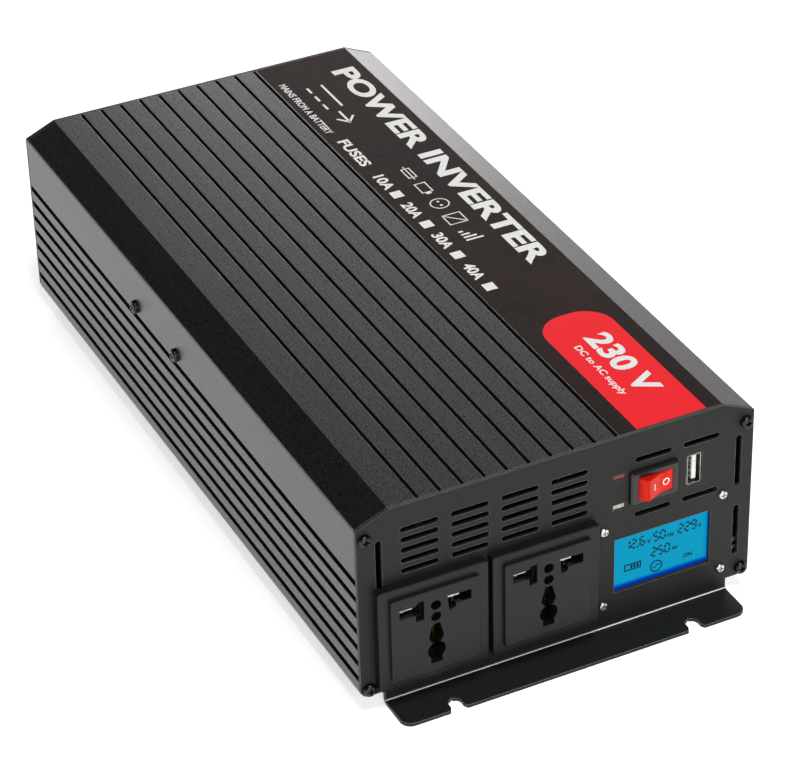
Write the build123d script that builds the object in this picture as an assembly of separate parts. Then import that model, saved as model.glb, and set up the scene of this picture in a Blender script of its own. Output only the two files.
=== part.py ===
"""A 1.5 kW power inverter in a ribbed aluminium case, as an assembly of separate parts.

Frame: +Z is up, the front panel faces -Y, and the origin is the middle of the overall box, on the
surface that the feet stand on. Every length is in millimetres. Heights called "..._up" are measured
from the underside of the case, and distances called "..._back" from the front panel's outer face.
"""

from build123d import *
import math
import os

# ---- driving dimensions: case -------------------------------------------------------------------
case_width = 170.0
case_height = 83.5
case_length = 334.0        # outer face of the front panel to outer face of the rear panel
chamfer_width = 13.7
chamfer_height = 5.9
wall = 4.0                 # full thickness of the extruded walls, ribs included
case_corner_radius = 3.0
shoulder_radius = 1.2
panel_corner_radius = 3.6
sheet = 1.5                # end panels
foot_height = 6.2          # the case stands this far above the floor
flange_projection = 17.0
flange_inset = 10.0        # from the case's side to the end of the flange
flange_corner_radius = 4.5
flange_root_up = 8.0       # the bent-up leg reaches this far up inside the panel
bend_radius = 1.5
foot_slot_width = 5.4
foot_slot_depth = 6.4      # from the flange's edge to the slot's round end
foot_slot_flare = 0.9
foot_slot_spacing = 104.0
gap = 0.2                  # general assembly clearance

top_groove_pitch = 9.3
top_groove_width = 1.6
top_groove_depth = 2.2
top_groove_margin = 12.0   # least flat width outside the first groove
label_groove_gap = 1.5     # from the label's edge to the middle of the nearest groove
side_groove_count = 7
side_groove_pitch = 7.5
side_groove_width = 3.0
side_groove_depth = 2.2
first_side_groove_up = 8.4
lap_height = 7.5           # the lower shell's tongue behind the upper shell
lap_gap = 0.1

boss_inset = 3.5
low_boss_up = 3.4
high_boss_drop = 10.7      # from the top of the case
boss_radius = 3.3
boss_hole_radius = 1.25
screw_clearance_radius = 1.6
rail_depth = 3.0           # ribs that hold the circuit board's edges
rail_thickness = 2.0
board_thickness = 1.6
board_up = 14.0            # underside of the main board
board_edge_gap = 0.4

label_width = 44.4
label_thickness = 0.3
label_recess = 0.35
label_margin = 0.3         # from the label to the edge of the flat top, and to the panels

# ---- driving dimensions: front panel ------------------------------------------------------------
slot_length = 16.0
slot_width = 2.5
vent_columns = 4
vent_rows = 5
vent_pitch_x = 21.05
vent_pitch_z = 4.7
first_vent_inset = 26.1    # insets are measured from the nearer side of the case
first_vent_up = 53.5
switch_vent_ups = (45.3, 70.6)
usb_vent_inset = 23.2
tall_slot_length = 24.0
tall_slot_width = 2.6
right_tall_slot_inset = 6.4
right_tall_slot_ups = (22.5, 55.5)
left_tall_slot_inset = 9.1
left_tall_slot_up = 58.7

socket_size = 46.2
socket_inset = 6.4
socket_gap = 1.7           # between the two sockets
socket_up = 26.1
socket_proud = 4.1
socket_block_width = 37.4
socket_block_height = 38.0
socket_block_proud = 1.6
socket_body = 37.6         # part that goes through the panel
socket_body_depth = 22.0
socket_floor = 3.0         # thickness behind the contact wells
live_contact_x = 9.9       # of the live and neutral contacts, from the socket's centre
shutter_travel = 4.0
shutter_thickness = 1.8
shutter_back_gap = 0.9     # between the shutter and the socket's rear moulding
shutter_front_gap = 0.2
shutter_low = 10.9         # lower edge of the shutter above the socket's centre
shutter_pocket_low = -2.0  # the pocket that the shutter and its springs are in
shutter_pocket_high = 21.8
shutter_pocket_half = 17.3
shutter_side_gap = 0.5
shutter_spring_xs = (-12.5, 8.4)
spring_wire = 0.16
spring_radius = 0.7
spring_turns = 9

lcd_inset = 39.4
lcd_above_floor = 19.3
lcd_window_width = 42.7
lcd_window_height = 25.3
lcd_overlap = 1.6          # glass hidden behind the panel, on each side of the window
lcd_screw_spacing_x = 52.8
lcd_screw_spacing_z = 35.4
lcd_set_back = 0.7         # from the panel's inner face to the display's front
lcd_thickness = 2.8
lcd_backlight_thickness = 3.0
lcd_frame_rim = 1.2
lcd_board_margin = 3.0
lcd_screw_above_floor = 20.1
lcd_screw_radius = 1.0

switch_inset = 44.3
switch_up = 58.4
bezel_length = 21.0
bezel_height = 15.0
bezel_proud = 2.0
switch_body_length = 19.2
switch_body_height = 12.8
switch_body_depth = 14.0
rocker_radius = 8.4
rocker_height = 9.7
rocker_gap = 0.15
pivot_below_bezel = 4.0    # pivot axis behind the bezel's front face
rocker_tilt = 15.3         # each way from level
rocker_ridge_angle = 46.3  # of the two ridges from the middle of the rocker
rocker_valley = 0.9
rocker_belly = 3.0         # flat underside of the rocker, behind its pivot
trunnion_radius = 1.5
pivot_clearance = 0.05
switch_blade_length = 8.0
switch_blade_pitch = 7.0

usb_inset = 26.2
usb_up = 58.1
usb_height = 13.6
usb_width = 6.2
usb_wall = 0.4
usb_depth = 14.0
usb_set_back = 0.2
usb_contact_zs = (-3.5, -1.0, 1.0, 3.5)

led_inset = 59.1
led_ups = (51.4, 65.0)
led_width = 5.0
led_height = 2.0
led_length = 6.5
led_set_back = 0.4
led_lead_pitch = 2.54

control_board_ups = (46.0, 70.0)
control_board_left = 4.9   # board beyond the lamps' middle
control_board_right = 7.2  # board beyond the USB outlet's middle

# ---- driving dimensions: rear panel -------------------------------------------------------------
fan_size = 60.0
fan_depth = 25.0
fan_gap = 1.0              # between the two fans
fan_up = 42.0
fan_duct_wall = 1.4
fan_flange = 4.0           # thickness of the frame's two square flanges
fan_hub_radius = 14.0
fan_blades = 7
fan_tip_gap = 0.8
fan_screw_inset = 5.0
fan_screw_radius = 1.9
fan_shaft_radius = 1.5
guard_wire = 1.6
guard_ring_count = 4
guard_ring_step = 7 / 30     # each ring is smaller than the last by this share of the outermost one
guard_to_screws = 5.355    # from the outermost ring to the circle through the screws
guard_eye_radius = 3.2
terminal_share = 2 / 7     # of the spare room between fan and wall, what lies on the fan's side
terminal_up = 36.0
stud_radius = 4.0
stud_head = 5.0
stud_free_end = 8.5        # stud that stands out past the knob
insulator_radius = 9.0
insulator_wall = 1.8
insulator_collar = 4.0
insulator_sleeve_end = 3.0 # sleeve that stands out inside the panel
terminal_washer = 1.0
terminal_nut = 5.0
bus_bar_thickness = 2.0
bus_bar_width = 12.0
bus_bar_foot = 16.0        # length soldered to the main board
knob_radius = 8.0
knob_length = 11.0
knob_flutes = 18
knob_flute_radius = 0.95
knob_skirt = 2.0           # plain rim below the flutes
lug_gap = 2.5
earth_x = 0.0
earth_above_floor = 4.0
earth_radius = 2.0         # free end that takes a ring lug
earth_base_radius = 2.5    # thicker part that goes through the panel and the nut
earth_washer = 0.8
earth_nut = 3.2
earth_free_end = 8.6
earth_head = 2.4

# ---- driving dimensions: inside -----------------------------------------------------------------
board_front_back = 40.0    # main board's front edge, behind the front face
board_rear_clear = 34.0    # main board's rear edge, before the rear face
insulation_thickness = 0.5
insulation_inset = 8.0
spreader_thickness = 3.0
spreader_end = 40.0        # bar beyond its two screws
spreader_clear = 6.0       # above the main board
spreader_top_up = 64.0
side_screw_befores = (165.5, 123.5)  # distances before the rear face
side_screw_up = 58.4

mosfet_pitch = 14.0
mosfet_count = 8
mosfet_clear = 10.0        # above the main board
mosfet_width = 10.0
mosfet_body_height = 9.2
mosfet_body_depth = 4.5
mosfet_tab_top = 15.5
mosfet_lead_pitch = 2.54
clamp_thickness = 2.0
clamp_height = 6.0

transformer_width = 42.0
transformer_height = 36.0
transformer_thickness = 16.0
transformer_leg = 12.0
transformer_outer_leg = 7.5
transformer_bar = 6.0      # core above and below the winding
transformer_columns = (-28.0, 28.0)
transformer_clear = 2.0    # pins between the board and the core
winding_gap = 0.3
input_can_radius = 8.0
input_can_height = 25.0
input_can_xs = (-45.0, -27.0, -9.0, 9.0, 27.0, 45.0)
bus_can_radius = 15.0
bus_can_height = 46.0
bus_can_xs = (-34.0, 34.0)
can_crimp_up = 3.0
can_crimp_height = 1.4
can_crimp_depth = 0.7
film_width = 26.0
film_depth = 12.0
film_height = 20.0
film_xs = (30.0, 60.0)
inductor_x = -30.0
inductor_radius = 17.0
inductor_section = 7.0
inductor_up = 10.0         # centre of the ring above the board
inductor_turns = 26
inductor_wire = 0.7        # radius of the winding wire
inductor_wire_gap = 0.3
driver_board_width = 64.0
driver_board_height = 35.0
driver_strip_width = 60.0
driver_strip_height = 3.0
driver_strip_overhang = 1.2
driver_chip_depth = 2.6
driver_chip_xs = (-18.0, 0.0, 18.0)
fuse_count = 6
fuse_pitch = 16.0
fuse_width = 13.0
fuse_depth = 4.8
fuse_height = 12.0
fuse_blade_height = 3.0
front_row_overlap = 6.3    # the inductor starts this far behind the film capacitors' front
row_gaps = (16.0, 1.7, 14.2, 31.8, 7.6, 6.4, 3.6, 4.0)  # before each row of parts, and after the last
wire_radius = 1.1
wire_bend = 5.0

# ---- places worked out from those ---------------------------------------------------------------
terminal_reach = insulator_collar + terminal_washer + lug_gap + knob_length + stud_free_end
overall_length = flange_projection + case_length + terminal_reach
front_y = -overall_length / 2 + flange_projection
rear_y = front_y + case_length
inner_front_y = front_y + sheet
inner_rear_y = rear_y - sheet
half = case_width / 2
inner_half = half - wall
flat_half = half - chamfer_width
boss_x = half - boss_inset
boss_ups = (low_boss_up, case_height - high_boss_drop)
floor_top = foot_height + wall
split_up = first_side_groove_up + (side_groove_count - 1) * side_groove_pitch - side_groove_width / 2
board_z = foot_height + board_up
board_top = board_z + board_thickness
label_left_x = flat_half - label_margin - label_width
last_groove_x = label_left_x - label_groove_gap
top_groove_count = 1 + int((last_groove_x + flat_half - top_groove_margin) / top_groove_pitch)
first_socket_x = -half + socket_inset + socket_size / 2
socket_xs = (first_socket_x, first_socket_x + socket_size + socket_gap)
lcd_x = half - lcd_inset
lcd_up = wall + lcd_above_floor
lcd_screw_up = wall + lcd_screw_above_floor
earth_up = wall + earth_above_floor
switch_x = half - switch_inset
usb_x = half - usb_inset
led_x = half - led_inset
fan_duct_radius = fan_size / 2 - fan_duct_wall
fan_screw_spacing = fan_size - 2 * fan_screw_inset
fan_xs = (-(fan_size + fan_gap) / 2, (fan_size + fan_gap) / 2)
screw_circle = fan_screw_spacing / math.sqrt(2)
guard_radius = screw_circle - guard_to_screws
guard_ring_radii = [guard_radius * (1 - i * guard_ring_step) for i in range(guard_ring_count)]
fan_edge = fan_size + fan_gap / 2
washer_radius = 2 * stud_radius + 0.5
terminal_x = fan_edge + washer_radius + (inner_half - fan_edge - 2 * washer_radius) * terminal_share
terminal_xs = (-terminal_x, terminal_x)
insulator_sleeve_radius = stud_radius + gap + insulator_wall


def up(height):
    """Height in the model of a point that is this far above the underside of the case."""
    return foot_height + height


def back(distance):
    """Y of a point that is this far behind the front panel's outer face."""
    return front_y + distance


def before(distance):
    """Y of a point that is this far in front of the rear panel's outer face."""
    return rear_y - distance


# ---- helpers ------------------------------------------------------------------------------------
def block(x0, x1, y0, y1, z0, z1):
    """A box between two corners."""
    middle = Pos((x0 + x1) / 2, (y0 + y1) / 2, (z0 + z1) / 2)
    return middle * Box(abs(x1 - x0), abs(y1 - y0), abs(z1 - z0))


def rod_x(y, z, radius, x0, x1):
    """A round bar along X."""
    return Pos((x0 + x1) / 2, y, z) * Rot(0, 90, 0) * Cylinder(radius, abs(x1 - x0))


def rod_y(x, z, radius, y0, y1):
    """A round bar along Y."""
    return Pos(x, (y0 + y1) / 2, z) * Rot(90, 0, 0) * Cylinder(radius, abs(y1 - y0))


def rod_z(x, y, radius, z0, z1):
    """An upright round bar."""
    return Pos(x, y, (z0 + z1) / 2) * Cylinder(radius, abs(z1 - z0))


def along_y(sketch, y0, y1):
    """An X-Z sketch drawn as (x, z), made solid from y0 to y1."""
    return extrude(Plane.XZ.offset(-y1) * sketch, amount=y1 - y0, dir=(0, -1, 0))


def along_x(sketch, x0, x1):
    """A Y-Z sketch drawn as (y, z), made solid from x0 to x1."""
    return extrude(Plane.YZ.offset(x0) * sketch, amount=x1 - x0, dir=(1, 0, 0))


def along_z(sketch, z0, z1):
    """An X-Y sketch made solid from z0 to z1."""
    return extrude(Plane.XY.offset(z0) * sketch, amount=z1 - z0, dir=(0, 0, 1))


def at(x, z, sketch):
    """Moves a flat sketch to (x, z) before it is made solid."""
    return Location((x, z, 0)) * sketch


def group(solids):
    """Several separate solids as one node."""
    return Compound(children=list(solids))


def save(name, shape):
    export_step(shape, f"parts/{name}.step")


def pan_screw(head_radius, head_height, shank_radius, shank_length, recess=0.56):
    """A cross-recessed pan-head screw: the head stands on z = 0 and the shank goes down from it."""
    head = Pos(0, 0, head_height / 2) * Cylinder(head_radius, head_height)
    head = fillet(head.edges().group_by(Axis.Z)[-1], head_height * 0.6)
    arm = 2 * head_radius * recess
    depth = head_height * 0.6
    for turn in (0, 90):
        cutter = Rot(0, 0, turn) * Box(arm, arm * 0.24, 2 * depth)
        head -= Pos(0, 0, head_height) * cutter
    shank = Pos(0, 0, -shank_length / 2) * Cylinder(shank_radius, shank_length)
    return head + shank


def facing_front(shape):
    """Turns a part that points up, along +Z, so that it points out of the front, along -Y."""
    return Rot(90, 0, 0) * shape


def facing_rear(shape):
    """Turns a part that points up, along +Z, so that it points out of the rear, along +Y."""
    return Rot(-90, 0, 0) * shape


# ---- case ---------------------------------------------------------------------------------------
def case_outline(corner):
    """The case's cross-section, as (x, z): a box with two wide shallow chamfers at the top."""
    shoulder = up(case_height - chamfer_height)
    top = up(case_height)
    right = [(half, up(0)), (half, shoulder), (flat_half, top)]
    left = [(-x, z) for x, z in reversed(right)]
    shape = Polygon(*right, *left, align=None)
    low = shape.vertices().group_by(Axis.Y)[0]
    shape = fillet(low, corner)
    sides = shape.vertices().group_by(Axis.Y)[-2]
    shape = fillet(sides, min(corner, shoulder_radius))
    return shape


def case_ring():
    """Walls of the whole case, with the four screw bosses and the ribs outside."""
    outline = case_outline(case_corner_radius)
    inside = offset(case_outline(case_corner_radius), amount=-wall, kind=Kind.INTERSECTION)
    ring = outline - inside
    for x in (-boss_x, boss_x):
        for height in boss_ups:
            ring += at(x, up(height), Circle(boss_radius)) & outline
    for x in (-boss_x, boss_x):
        for height in boss_ups:
            ring -= at(x, up(height), Circle(boss_hole_radius))
    for i in range(top_groove_count):
        x = last_groove_x - i * top_groove_pitch
        cut = Rectangle(top_groove_width, 2 * top_groove_depth)
        ring -= at(x, up(case_height), cut)
    for i in range(side_groove_count - 1):
        height = first_side_groove_up + i * side_groove_pitch
        for side in (-half, half):
            ring -= at(side, up(height), Rectangle(2 * side_groove_depth, side_groove_width))
    return ring


def lap_zone(side, inner_x, outer_x, low, high):
    """A strip of one side wall, between two distances from the middle and two heights."""
    x = side * (inner_x + outer_x) / 2
    return at(x, up((low + high) / 2), Rectangle(outer_x - inner_x, high - low))


def lower_shell():
    ring = case_ring() & at(0, up(split_up / 2), Rectangle(2 * case_width, split_up))
    tongue_outer = half - side_groove_depth
    lap_top = split_up + side_groove_width + lap_height
    for side in (-1, 1):
        ring += lap_zone(side, inner_half, tongue_outer, split_up - 1, lap_top)
    rail_tip = inner_half - rail_depth
    rails = (board_up - rail_thickness - gap, board_up + board_thickness + gap)
    for side in (-1, 1):
        for low in rails:
            ring += lap_zone(side, rail_tip, inner_half + 1, low, low + rail_thickness)
    shell = along_y(ring, inner_front_y, inner_rear_y)
    return shell - side_screw_holes(boss_hole_radius)


def upper_shell():
    low = split_up + side_groove_width
    high = case_height + 1
    ring = case_ring() & at(0, up((low + high) / 2), Rectangle(2 * case_width, high - low))
    tongue_outer = half - side_groove_depth + lap_gap
    lap_top = low + lap_height + lap_gap
    for side in (-1, 1):
        ring -= lap_zone(side, inner_half - 1, tongue_outer, low - 1, lap_top)
    label_middle = label_left_x + label_width / 2
    recess = Rectangle(label_width + 2 * gap, 2 * label_recess)
    ring -= at(label_middle, up(case_height), recess)
    shell = along_y(ring, inner_front_y, inner_rear_y)
    return shell - side_screw_holes(screw_clearance_radius)


def side_screw_holes(radius):
    """Holes across both side walls for the screws that hold the heat spreaders."""
    holes = Part()
    for distance in side_screw_befores:
        holes += rod_x(before(distance), up(side_screw_up), radius, -half - 1, half + 1)
    return holes


def top_label():
    """The printed film, set just below the ribs' tops."""
    low = up(case_height) - label_recess
    right_x = label_left_x + label_width
    y0, y1 = inner_front_y + label_margin, inner_rear_y - label_margin
    return block(label_left_x, right_x, y0, y1, low, low + label_thickness)


def end_panel(face_y, outward):
    """A sheet-metal end panel with its foot flange: outward is -1 at the front and +1 at the rear."""
    inner_y = face_y - outward * sheet
    y0, y1 = sorted((face_y, inner_y))
    plate = along_y(case_outline(panel_corner_radius), y0, y1)
    edge_y = face_y + outward * flange_projection
    root = up(flange_root_up)
    leg = [(inner_y, 0), (inner_y, root), (face_y, root)]
    toe = [(face_y, sheet), (edge_y, sheet), (edge_y, 0)]
    angle = Polygon(*leg, *toe, align=None)
    concave = angle.vertices().sort_by_distance((face_y, sheet))[0]
    angle = fillet(concave, bend_radius)
    convex = angle.vertices().sort_by_distance((inner_y, 0))[0]
    angle = fillet(convex, bend_radius + sheet - gap)
    foot = along_x(angle, flange_inset - half, half - flange_inset)
    tips = foot.edges().filter_by(Axis.Z).filter_by(lambda e: abs(e.center().Y - edge_y) < 0.01)
    foot = fillet(tips, flange_corner_radius)
    for x in (-foot_slot_spacing / 2, foot_slot_spacing / 2):
        foot -= foot_slot(x, edge_y, outward)
    panel = plate + foot
    for x in (-boss_x, boss_x):
        for height in boss_ups:
            panel -= rod_y(x, up(height), screw_clearance_radius, y0 - 1, y1 + 1)
    return panel


def foot_slot(x, edge_y, outward):
    """An open slot in a foot flange, with a round inner end and a flared mouth."""
    radius = foot_slot_width / 2
    round_y = edge_y - outward * (foot_slot_depth - radius)
    cut = rod_z(x, round_y, radius, -1, sheet + 1)
    cut += block(x - radius, x + radius, *sorted((round_y, edge_y + outward)), -1, sheet + 1)
    flare = radius + foot_slot_flare
    tip = (x, edge_y - outward * 2 * flare)
    mouth = Polygon((x - flare, edge_y), (x + flare, edge_y), tip, align=None)
    return cut + along_z(mouth, -1, sheet + 1)


# ---- front panel --------------------------------------------------------------------------------
def front_cutouts():
    """Every opening in the front panel, as (x, z) sketches."""
    level = SlotOverall(slot_length, slot_width)
    upright = SlotOverall(tall_slot_length, tall_slot_width, rotation=90)
    cuts = []
    for column in range(vent_columns):
        x = first_vent_inset - half + column * vent_pitch_x
        for row in range(vent_rows):
            cuts.append(at(x, up(first_vent_up + row * vent_pitch_z), level))
    for x in (switch_x, half - usb_vent_inset):
        for height in switch_vent_ups:
            cuts.append(at(x, up(height), level))
    for height in right_tall_slot_ups:
        cuts.append(at(half - right_tall_slot_inset, up(height), upright))
    cuts.append(at(left_tall_slot_inset - half, up(left_tall_slot_up), upright))
    socket_hole = Rectangle(socket_body + 2 * gap, socket_body + 2 * gap)
    for x in socket_xs:
        cuts.append(at(x, up(socket_up), socket_hole))
    cuts.append(at(lcd_x, up(lcd_up), Rectangle(lcd_window_width, lcd_window_height)))
    switch_hole = Rectangle(switch_body_length + 2 * gap, switch_body_height + 2 * gap)
    cuts.append(at(switch_x, up(switch_up), switch_hole))
    cuts.append(at(usb_x, up(usb_up), Rectangle(usb_width + 4 * gap, usb_height + 4 * gap)))
    for height in led_ups:
        cuts.append(at(led_x, up(height), Rectangle(led_width + 2 * gap, led_height + 2 * gap)))
    for x, z in lcd_screw_places():
        cuts.append(at(x, z, Circle(lcd_screw_radius + gap)))
    return cuts


def lcd_screw_places():
    """The four (x, z) places of the display's screws."""
    xs = (lcd_x - lcd_screw_spacing_x / 2, lcd_x + lcd_screw_spacing_x / 2)
    zs = (up(lcd_screw_up) - lcd_screw_spacing_z / 2, up(lcd_screw_up) + lcd_screw_spacing_z / 2)
    return [(x, z) for x in xs for z in zs]


def front_panel():
    panel = end_panel(front_y, -1)
    openings = Sketch() + front_cutouts()
    return panel - along_y(openings, front_y - 1, inner_front_y + 1)


def case_screws():
    """Eight black screws, four in the corners of each end panel."""
    screw = pan_screw(2.7, 2.1, 1.2, 9.0)
    solids = []
    for x in (-boss_x, boss_x):
        for height in boss_ups:
            solids.append(Pos(x, front_y, up(height)) * facing_front(screw))
            solids.append(Pos(x, rear_y, up(height)) * facing_rear(screw))
    return group(solids)


# ---- universal sockets --------------------------------------------------------------------------
def socket_openings():
    """The face's pin openings for many plug types, as a sketch about the socket's centre."""
    vase = [(-1.7, 3.2), (1.5, 3.2), (3.2, -3), (1.95, -5.7), (-1.95, -5.7), (-3.2, -3)]
    earth = Polygon(*vase, align=None) + at(0, -9.4, Circle(3.8)) + at(0, -12.3, Rectangle(4.9, 6.0))
    holes = at(0, 11.7, Circle(2.15)) + at(0, 6.4, Circle(2.1))
    left_blade = [(-8.4, 6.6), (-5.0, 6.8), (-5.0, 15.4), (-7.4, 15.4), (-8.4, 14.0)]
    left = at(-11.7, 11.8, Rectangle(7.0, 4.2)) + Polygon(*left_blade, align=None)
    right_blade = [(4.9, 14.2), (5.5, 7.3), (8.0, 7.8), (8.4, 9.5), (11.0, 9.7), (11.0, 14.0)]
    right = at(12.8, 11.8, Rectangle(4.2, 4.2)) + Polygon(*right_blade, align=None)
    return earth + holes + left + right


def socket_face(x):
    """The front moulding of a socket: a square flange, a raised block, and a pocket for the shutter."""
    z = up(socket_up)
    flange_front = front_y - socket_proud
    side = socket_size / 2
    flange = block(x - side, x + side, flange_front, front_y, z - side, z + side)
    flange = fillet(flange.edges().filter_by(Axis.Y), 1.2)
    flange = fillet(flange.faces().sort_by(Axis.Y)[0].edges(), 0.6)
    block_front = flange_front - socket_block_proud
    wide, tall = socket_block_width / 2, socket_block_height / 2
    raised = block(x - wide, x + wide, block_front, flange_front + 1, z - tall, z + tall)
    raised = fillet(raised.edges().filter_by(Axis.Y), 0.8)
    raised = fillet(raised.faces().sort_by(Axis.Y)[0].edges(), 0.35)
    pocket_front = front_y - shutter_back_gap - shutter_thickness - shutter_front_gap
    low, high = z + shutter_pocket_low, z + shutter_pocket_high
    wide = shutter_pocket_half
    pocket = block(x - wide, x + wide, pocket_front, front_y + 1, low, high)
    openings = along_y(at(x, z, socket_openings()), block_front - 1, front_y + 1)
    return flange + raised - pocket - openings


def socket_shutter(x):
    """The slider that closes the live and neutral openings. It rises when a plug pushes in."""
    z = up(socket_up)
    y1 = front_y - shutter_back_gap
    y0 = y1 - shutter_thickness
    low = z + shutter_low
    plate_height = 5.0
    wide = shutter_pocket_half - shutter_side_gap
    high = z + shutter_pocket_high - shutter_travel - 2 * gap
    bar = block(x - wide, x + wide, y0, y1, low + plate_height - gap, high)
    for x0, x1 in ((-16.4, -8.5), (5.4, 11.2)):
        bar += block(x + x0, x + x1, y0, y1, low, low + plate_height)
    return bar


def shutter_springs(x):
    """Two small coil springs that pull a shutter back down."""
    z = up(socket_up)
    y = front_y - shutter_back_gap - shutter_thickness / 2
    end_gap = spring_wire + 0.01
    height = shutter_low - shutter_pocket_low - 2 * end_gap
    coil = Helix(pitch=height / spring_turns, height=height, radius=spring_radius)
    profile = Plane(origin=coil @ 0, z_dir=coil % 0) * Circle(spring_wire)
    spring = sweep(profile, path=coil, is_frenet=True)
    foot = z + shutter_pocket_low + end_gap
    return group(Pos(x + dx, y, foot) * spring for dx in shutter_spring_xs)


def socket_back(x):
    """The rear moulding of a socket, with wells for the contacts and a snap on each side."""
    z = up(socket_up)
    side = socket_body / 2
    depth = front_y + socket_body_depth
    body = block(x - side, x + side, front_y, depth, z - side, z + side)
    body = fillet(body.edges().filter_by(Axis.Y), 1.5)
    y0, well_end = front_y - 1, depth - socket_floor
    for sign in (-1, 1):
        body -= block(x + sign * 4.2, x + sign * 15.6, y0, well_end, z + 5.5, z + 16.0)
    body -= block(x - 3.0, x + 3.0, y0, well_end, z + 4.2, z + 14.2)
    body -= block(x - 4.4, x + 4.4, y0, well_end, z - 16.0, z + 3.6)
    snap_y = inner_front_y + gap
    snap_height, snap_length = 1.3, 8.0
    for sign in (-1, 1):
        face_x = x + sign * side
        corners = [(face_x, snap_y), (face_x + sign * snap_height, snap_y), (face_x, snap_y + snap_length)]
        body += along_z(Polygon(*corners, align=None), z - 5, z + 5)
    return body


def contact_clip(x, z, reach, low, high):
    """A brass clip bent to a U: its two leaves point at the front and its back lies on the well's floor."""
    leaf = 0.8
    y0 = front_y + 4.0
    y1 = front_y + socket_body_depth - socket_floor - gap
    clip = block(x - reach, x - reach + leaf, y0, y1, z + low, z + high)
    clip += block(x + reach - leaf, x + reach, y0, y1, z + low, z + high)
    return clip + block(x - reach, x + reach, y1 - leaf, y1, z + low, z + high)


def socket_contacts():
    """One clip in each live and neutral well, and one in each earth well."""
    clips = []
    for x in socket_xs:
        z = up(socket_up)
        for side in (-1, 1):
            clips.append(contact_clip(x + side * live_contact_x, z, 5.2, 8.0, 13.5))
        clips.append(contact_clip(x, z, 3.9, -14.0, 1.0))
    return group(clips)


# ---- rocker switch ------------------------------------------------------------------------------
pivot_y = front_y - bezel_proud + pivot_below_bezel


def switch_housing():
    """The switch's bezel and body, hollowed on the rocker's own radius."""
    z = up(switch_up)
    wide, tall = bezel_length / 2, bezel_height / 2
    bezel = block(switch_x - wide, switch_x + wide, front_y - bezel_proud, front_y, z - tall, z + tall)
    bezel = fillet(bezel.edges().filter_by(Axis.Y), 0.8)
    bezel = chamfer(bezel.faces().sort_by(Axis.Y)[0].edges(), 0.7)
    wide, tall = switch_body_length / 2, switch_body_height / 2
    y1 = front_y + switch_body_depth
    body = block(switch_x - wide, switch_x + wide, front_y - 0.5, y1, z - tall, z + tall)
    room = rocker_height / 2 + rocker_gap
    hollow = rod_z(switch_x, pivot_y, rocker_radius + rocker_gap, z - room, z + room)
    pin_hole_radius = trunnion_radius + pivot_clearance
    pin_holes = rod_z(switch_x, pivot_y, pin_hole_radius, z - tall - 1, z + tall + 1)
    return bezel + body - hollow - pin_holes


def rocker_button():
    """The red rocker at rest, with its "off" end pressed in, which is at +X. It has a pin at each end."""
    ridge = math.radians(rocker_ridge_angle)
    ridge_x, ridge_y = rocker_radius * math.sin(ridge), rocker_radius * math.cos(ridge)
    beyond = 2 * rocker_radius
    right = [(ridge_x, ridge_y), (ridge_x + beyond, ridge_y), (ridge_x + beyond, ridge_y + beyond)]
    left = [(-x, y) for x, y in reversed(right)]
    above = Polygon((0, ridge_y - rocker_valley), *right, *left, align=None)
    below = at(0, -rocker_belly - beyond, Rectangle(2 * beyond, 2 * beyond))
    tall = rocker_height / 2
    button = extrude(Circle(rocker_radius) - above - below, amount=tall, both=True)
    rims = button.edges().filter_by(lambda e: e.center().Y > 3 and abs(e.center().Z) > tall - 0.5)
    button = chamfer(rims, 0.35)
    button += Cylinder(trunnion_radius, switch_body_height - gap)
    return Pos(switch_x, pivot_y, up(switch_up)) * Rot(0, 0, 180 + rocker_tilt) * button


def switch_terminals():
    """Three push-on blades behind the switch."""
    y0 = front_y + switch_body_depth
    y1 = y0 + switch_blade_length
    z = up(switch_up)
    middles = [switch_x + i * switch_blade_pitch for i in (-1, 0, 1)]
    return group(block(x - 0.4, x + 0.4, y0, y1, z - 2.4, z + 2.4) for x in middles)


# ---- USB outlet, lamps and display --------------------------------------------------------------
usb_front_y = front_y + usb_set_back
control_board_y = usb_front_y + usb_depth


def usb_shell():
    """The outlet's folded metal shell, open at the front."""
    z = up(usb_up)
    wide, tall = usb_width / 2, usb_height / 2
    outer = block(usb_x - wide, usb_x + wide, usb_front_y, control_board_y, z - tall, z + tall)
    outer = fillet(outer.edges().filter_by(Axis.Y), 0.6)
    wide, tall = wide - usb_wall, tall - usb_wall
    y1 = control_board_y - usb_wall
    return outer - block(usb_x - wide, usb_x + wide, usb_front_y - 1, y1, z - tall, z + tall)


def usb_tongue():
    """The insulating block at the back of the shell, with the tongue that carries the contacts."""
    z = up(usb_up)
    y1 = control_board_y - usb_wall - pivot_clearance
    wide = usb_width / 2 - usb_wall - pivot_clearance
    tall = usb_height / 2 - usb_wall - pivot_clearance
    base = block(usb_x - wide, usb_x + wide, y1 - 3, y1, z - tall, z + tall)
    tongue_half = tall - 0.7
    return base + block(usb_x - 0.2, usb_x + 1.7, front_y + 1.6, y1 - 2, z - tongue_half, z + tongue_half)


def usb_contacts():
    """Four gold strips on the tongue."""
    z = up(usb_up)
    y0, y1 = front_y + 2.0, front_y + 10.0
    x0, x1 = usb_x - 0.4, usb_x - 0.2
    return group(block(x0, x1, y0, y1, z + dz - 0.5, z + dz + 0.5) for dz in usb_contact_zs)


def control_board():
    """The small upright board that carries the USB outlet and both lamps."""
    y0 = control_board_y
    y1 = y0 + board_thickness
    reach_x, reach_z = bezel_length / 2 + 0.5, bezel_height / 2 + 0.5
    z = up(switch_up)
    hole = block(switch_x - reach_x, switch_x + reach_x, y0 - 1, y1 + 1, z - reach_z, z + reach_z)
    low, high = control_board_ups
    board = block(led_x - control_board_left, usb_x + control_board_right, y0, y1, up(low), up(high))
    return board - hole


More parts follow.
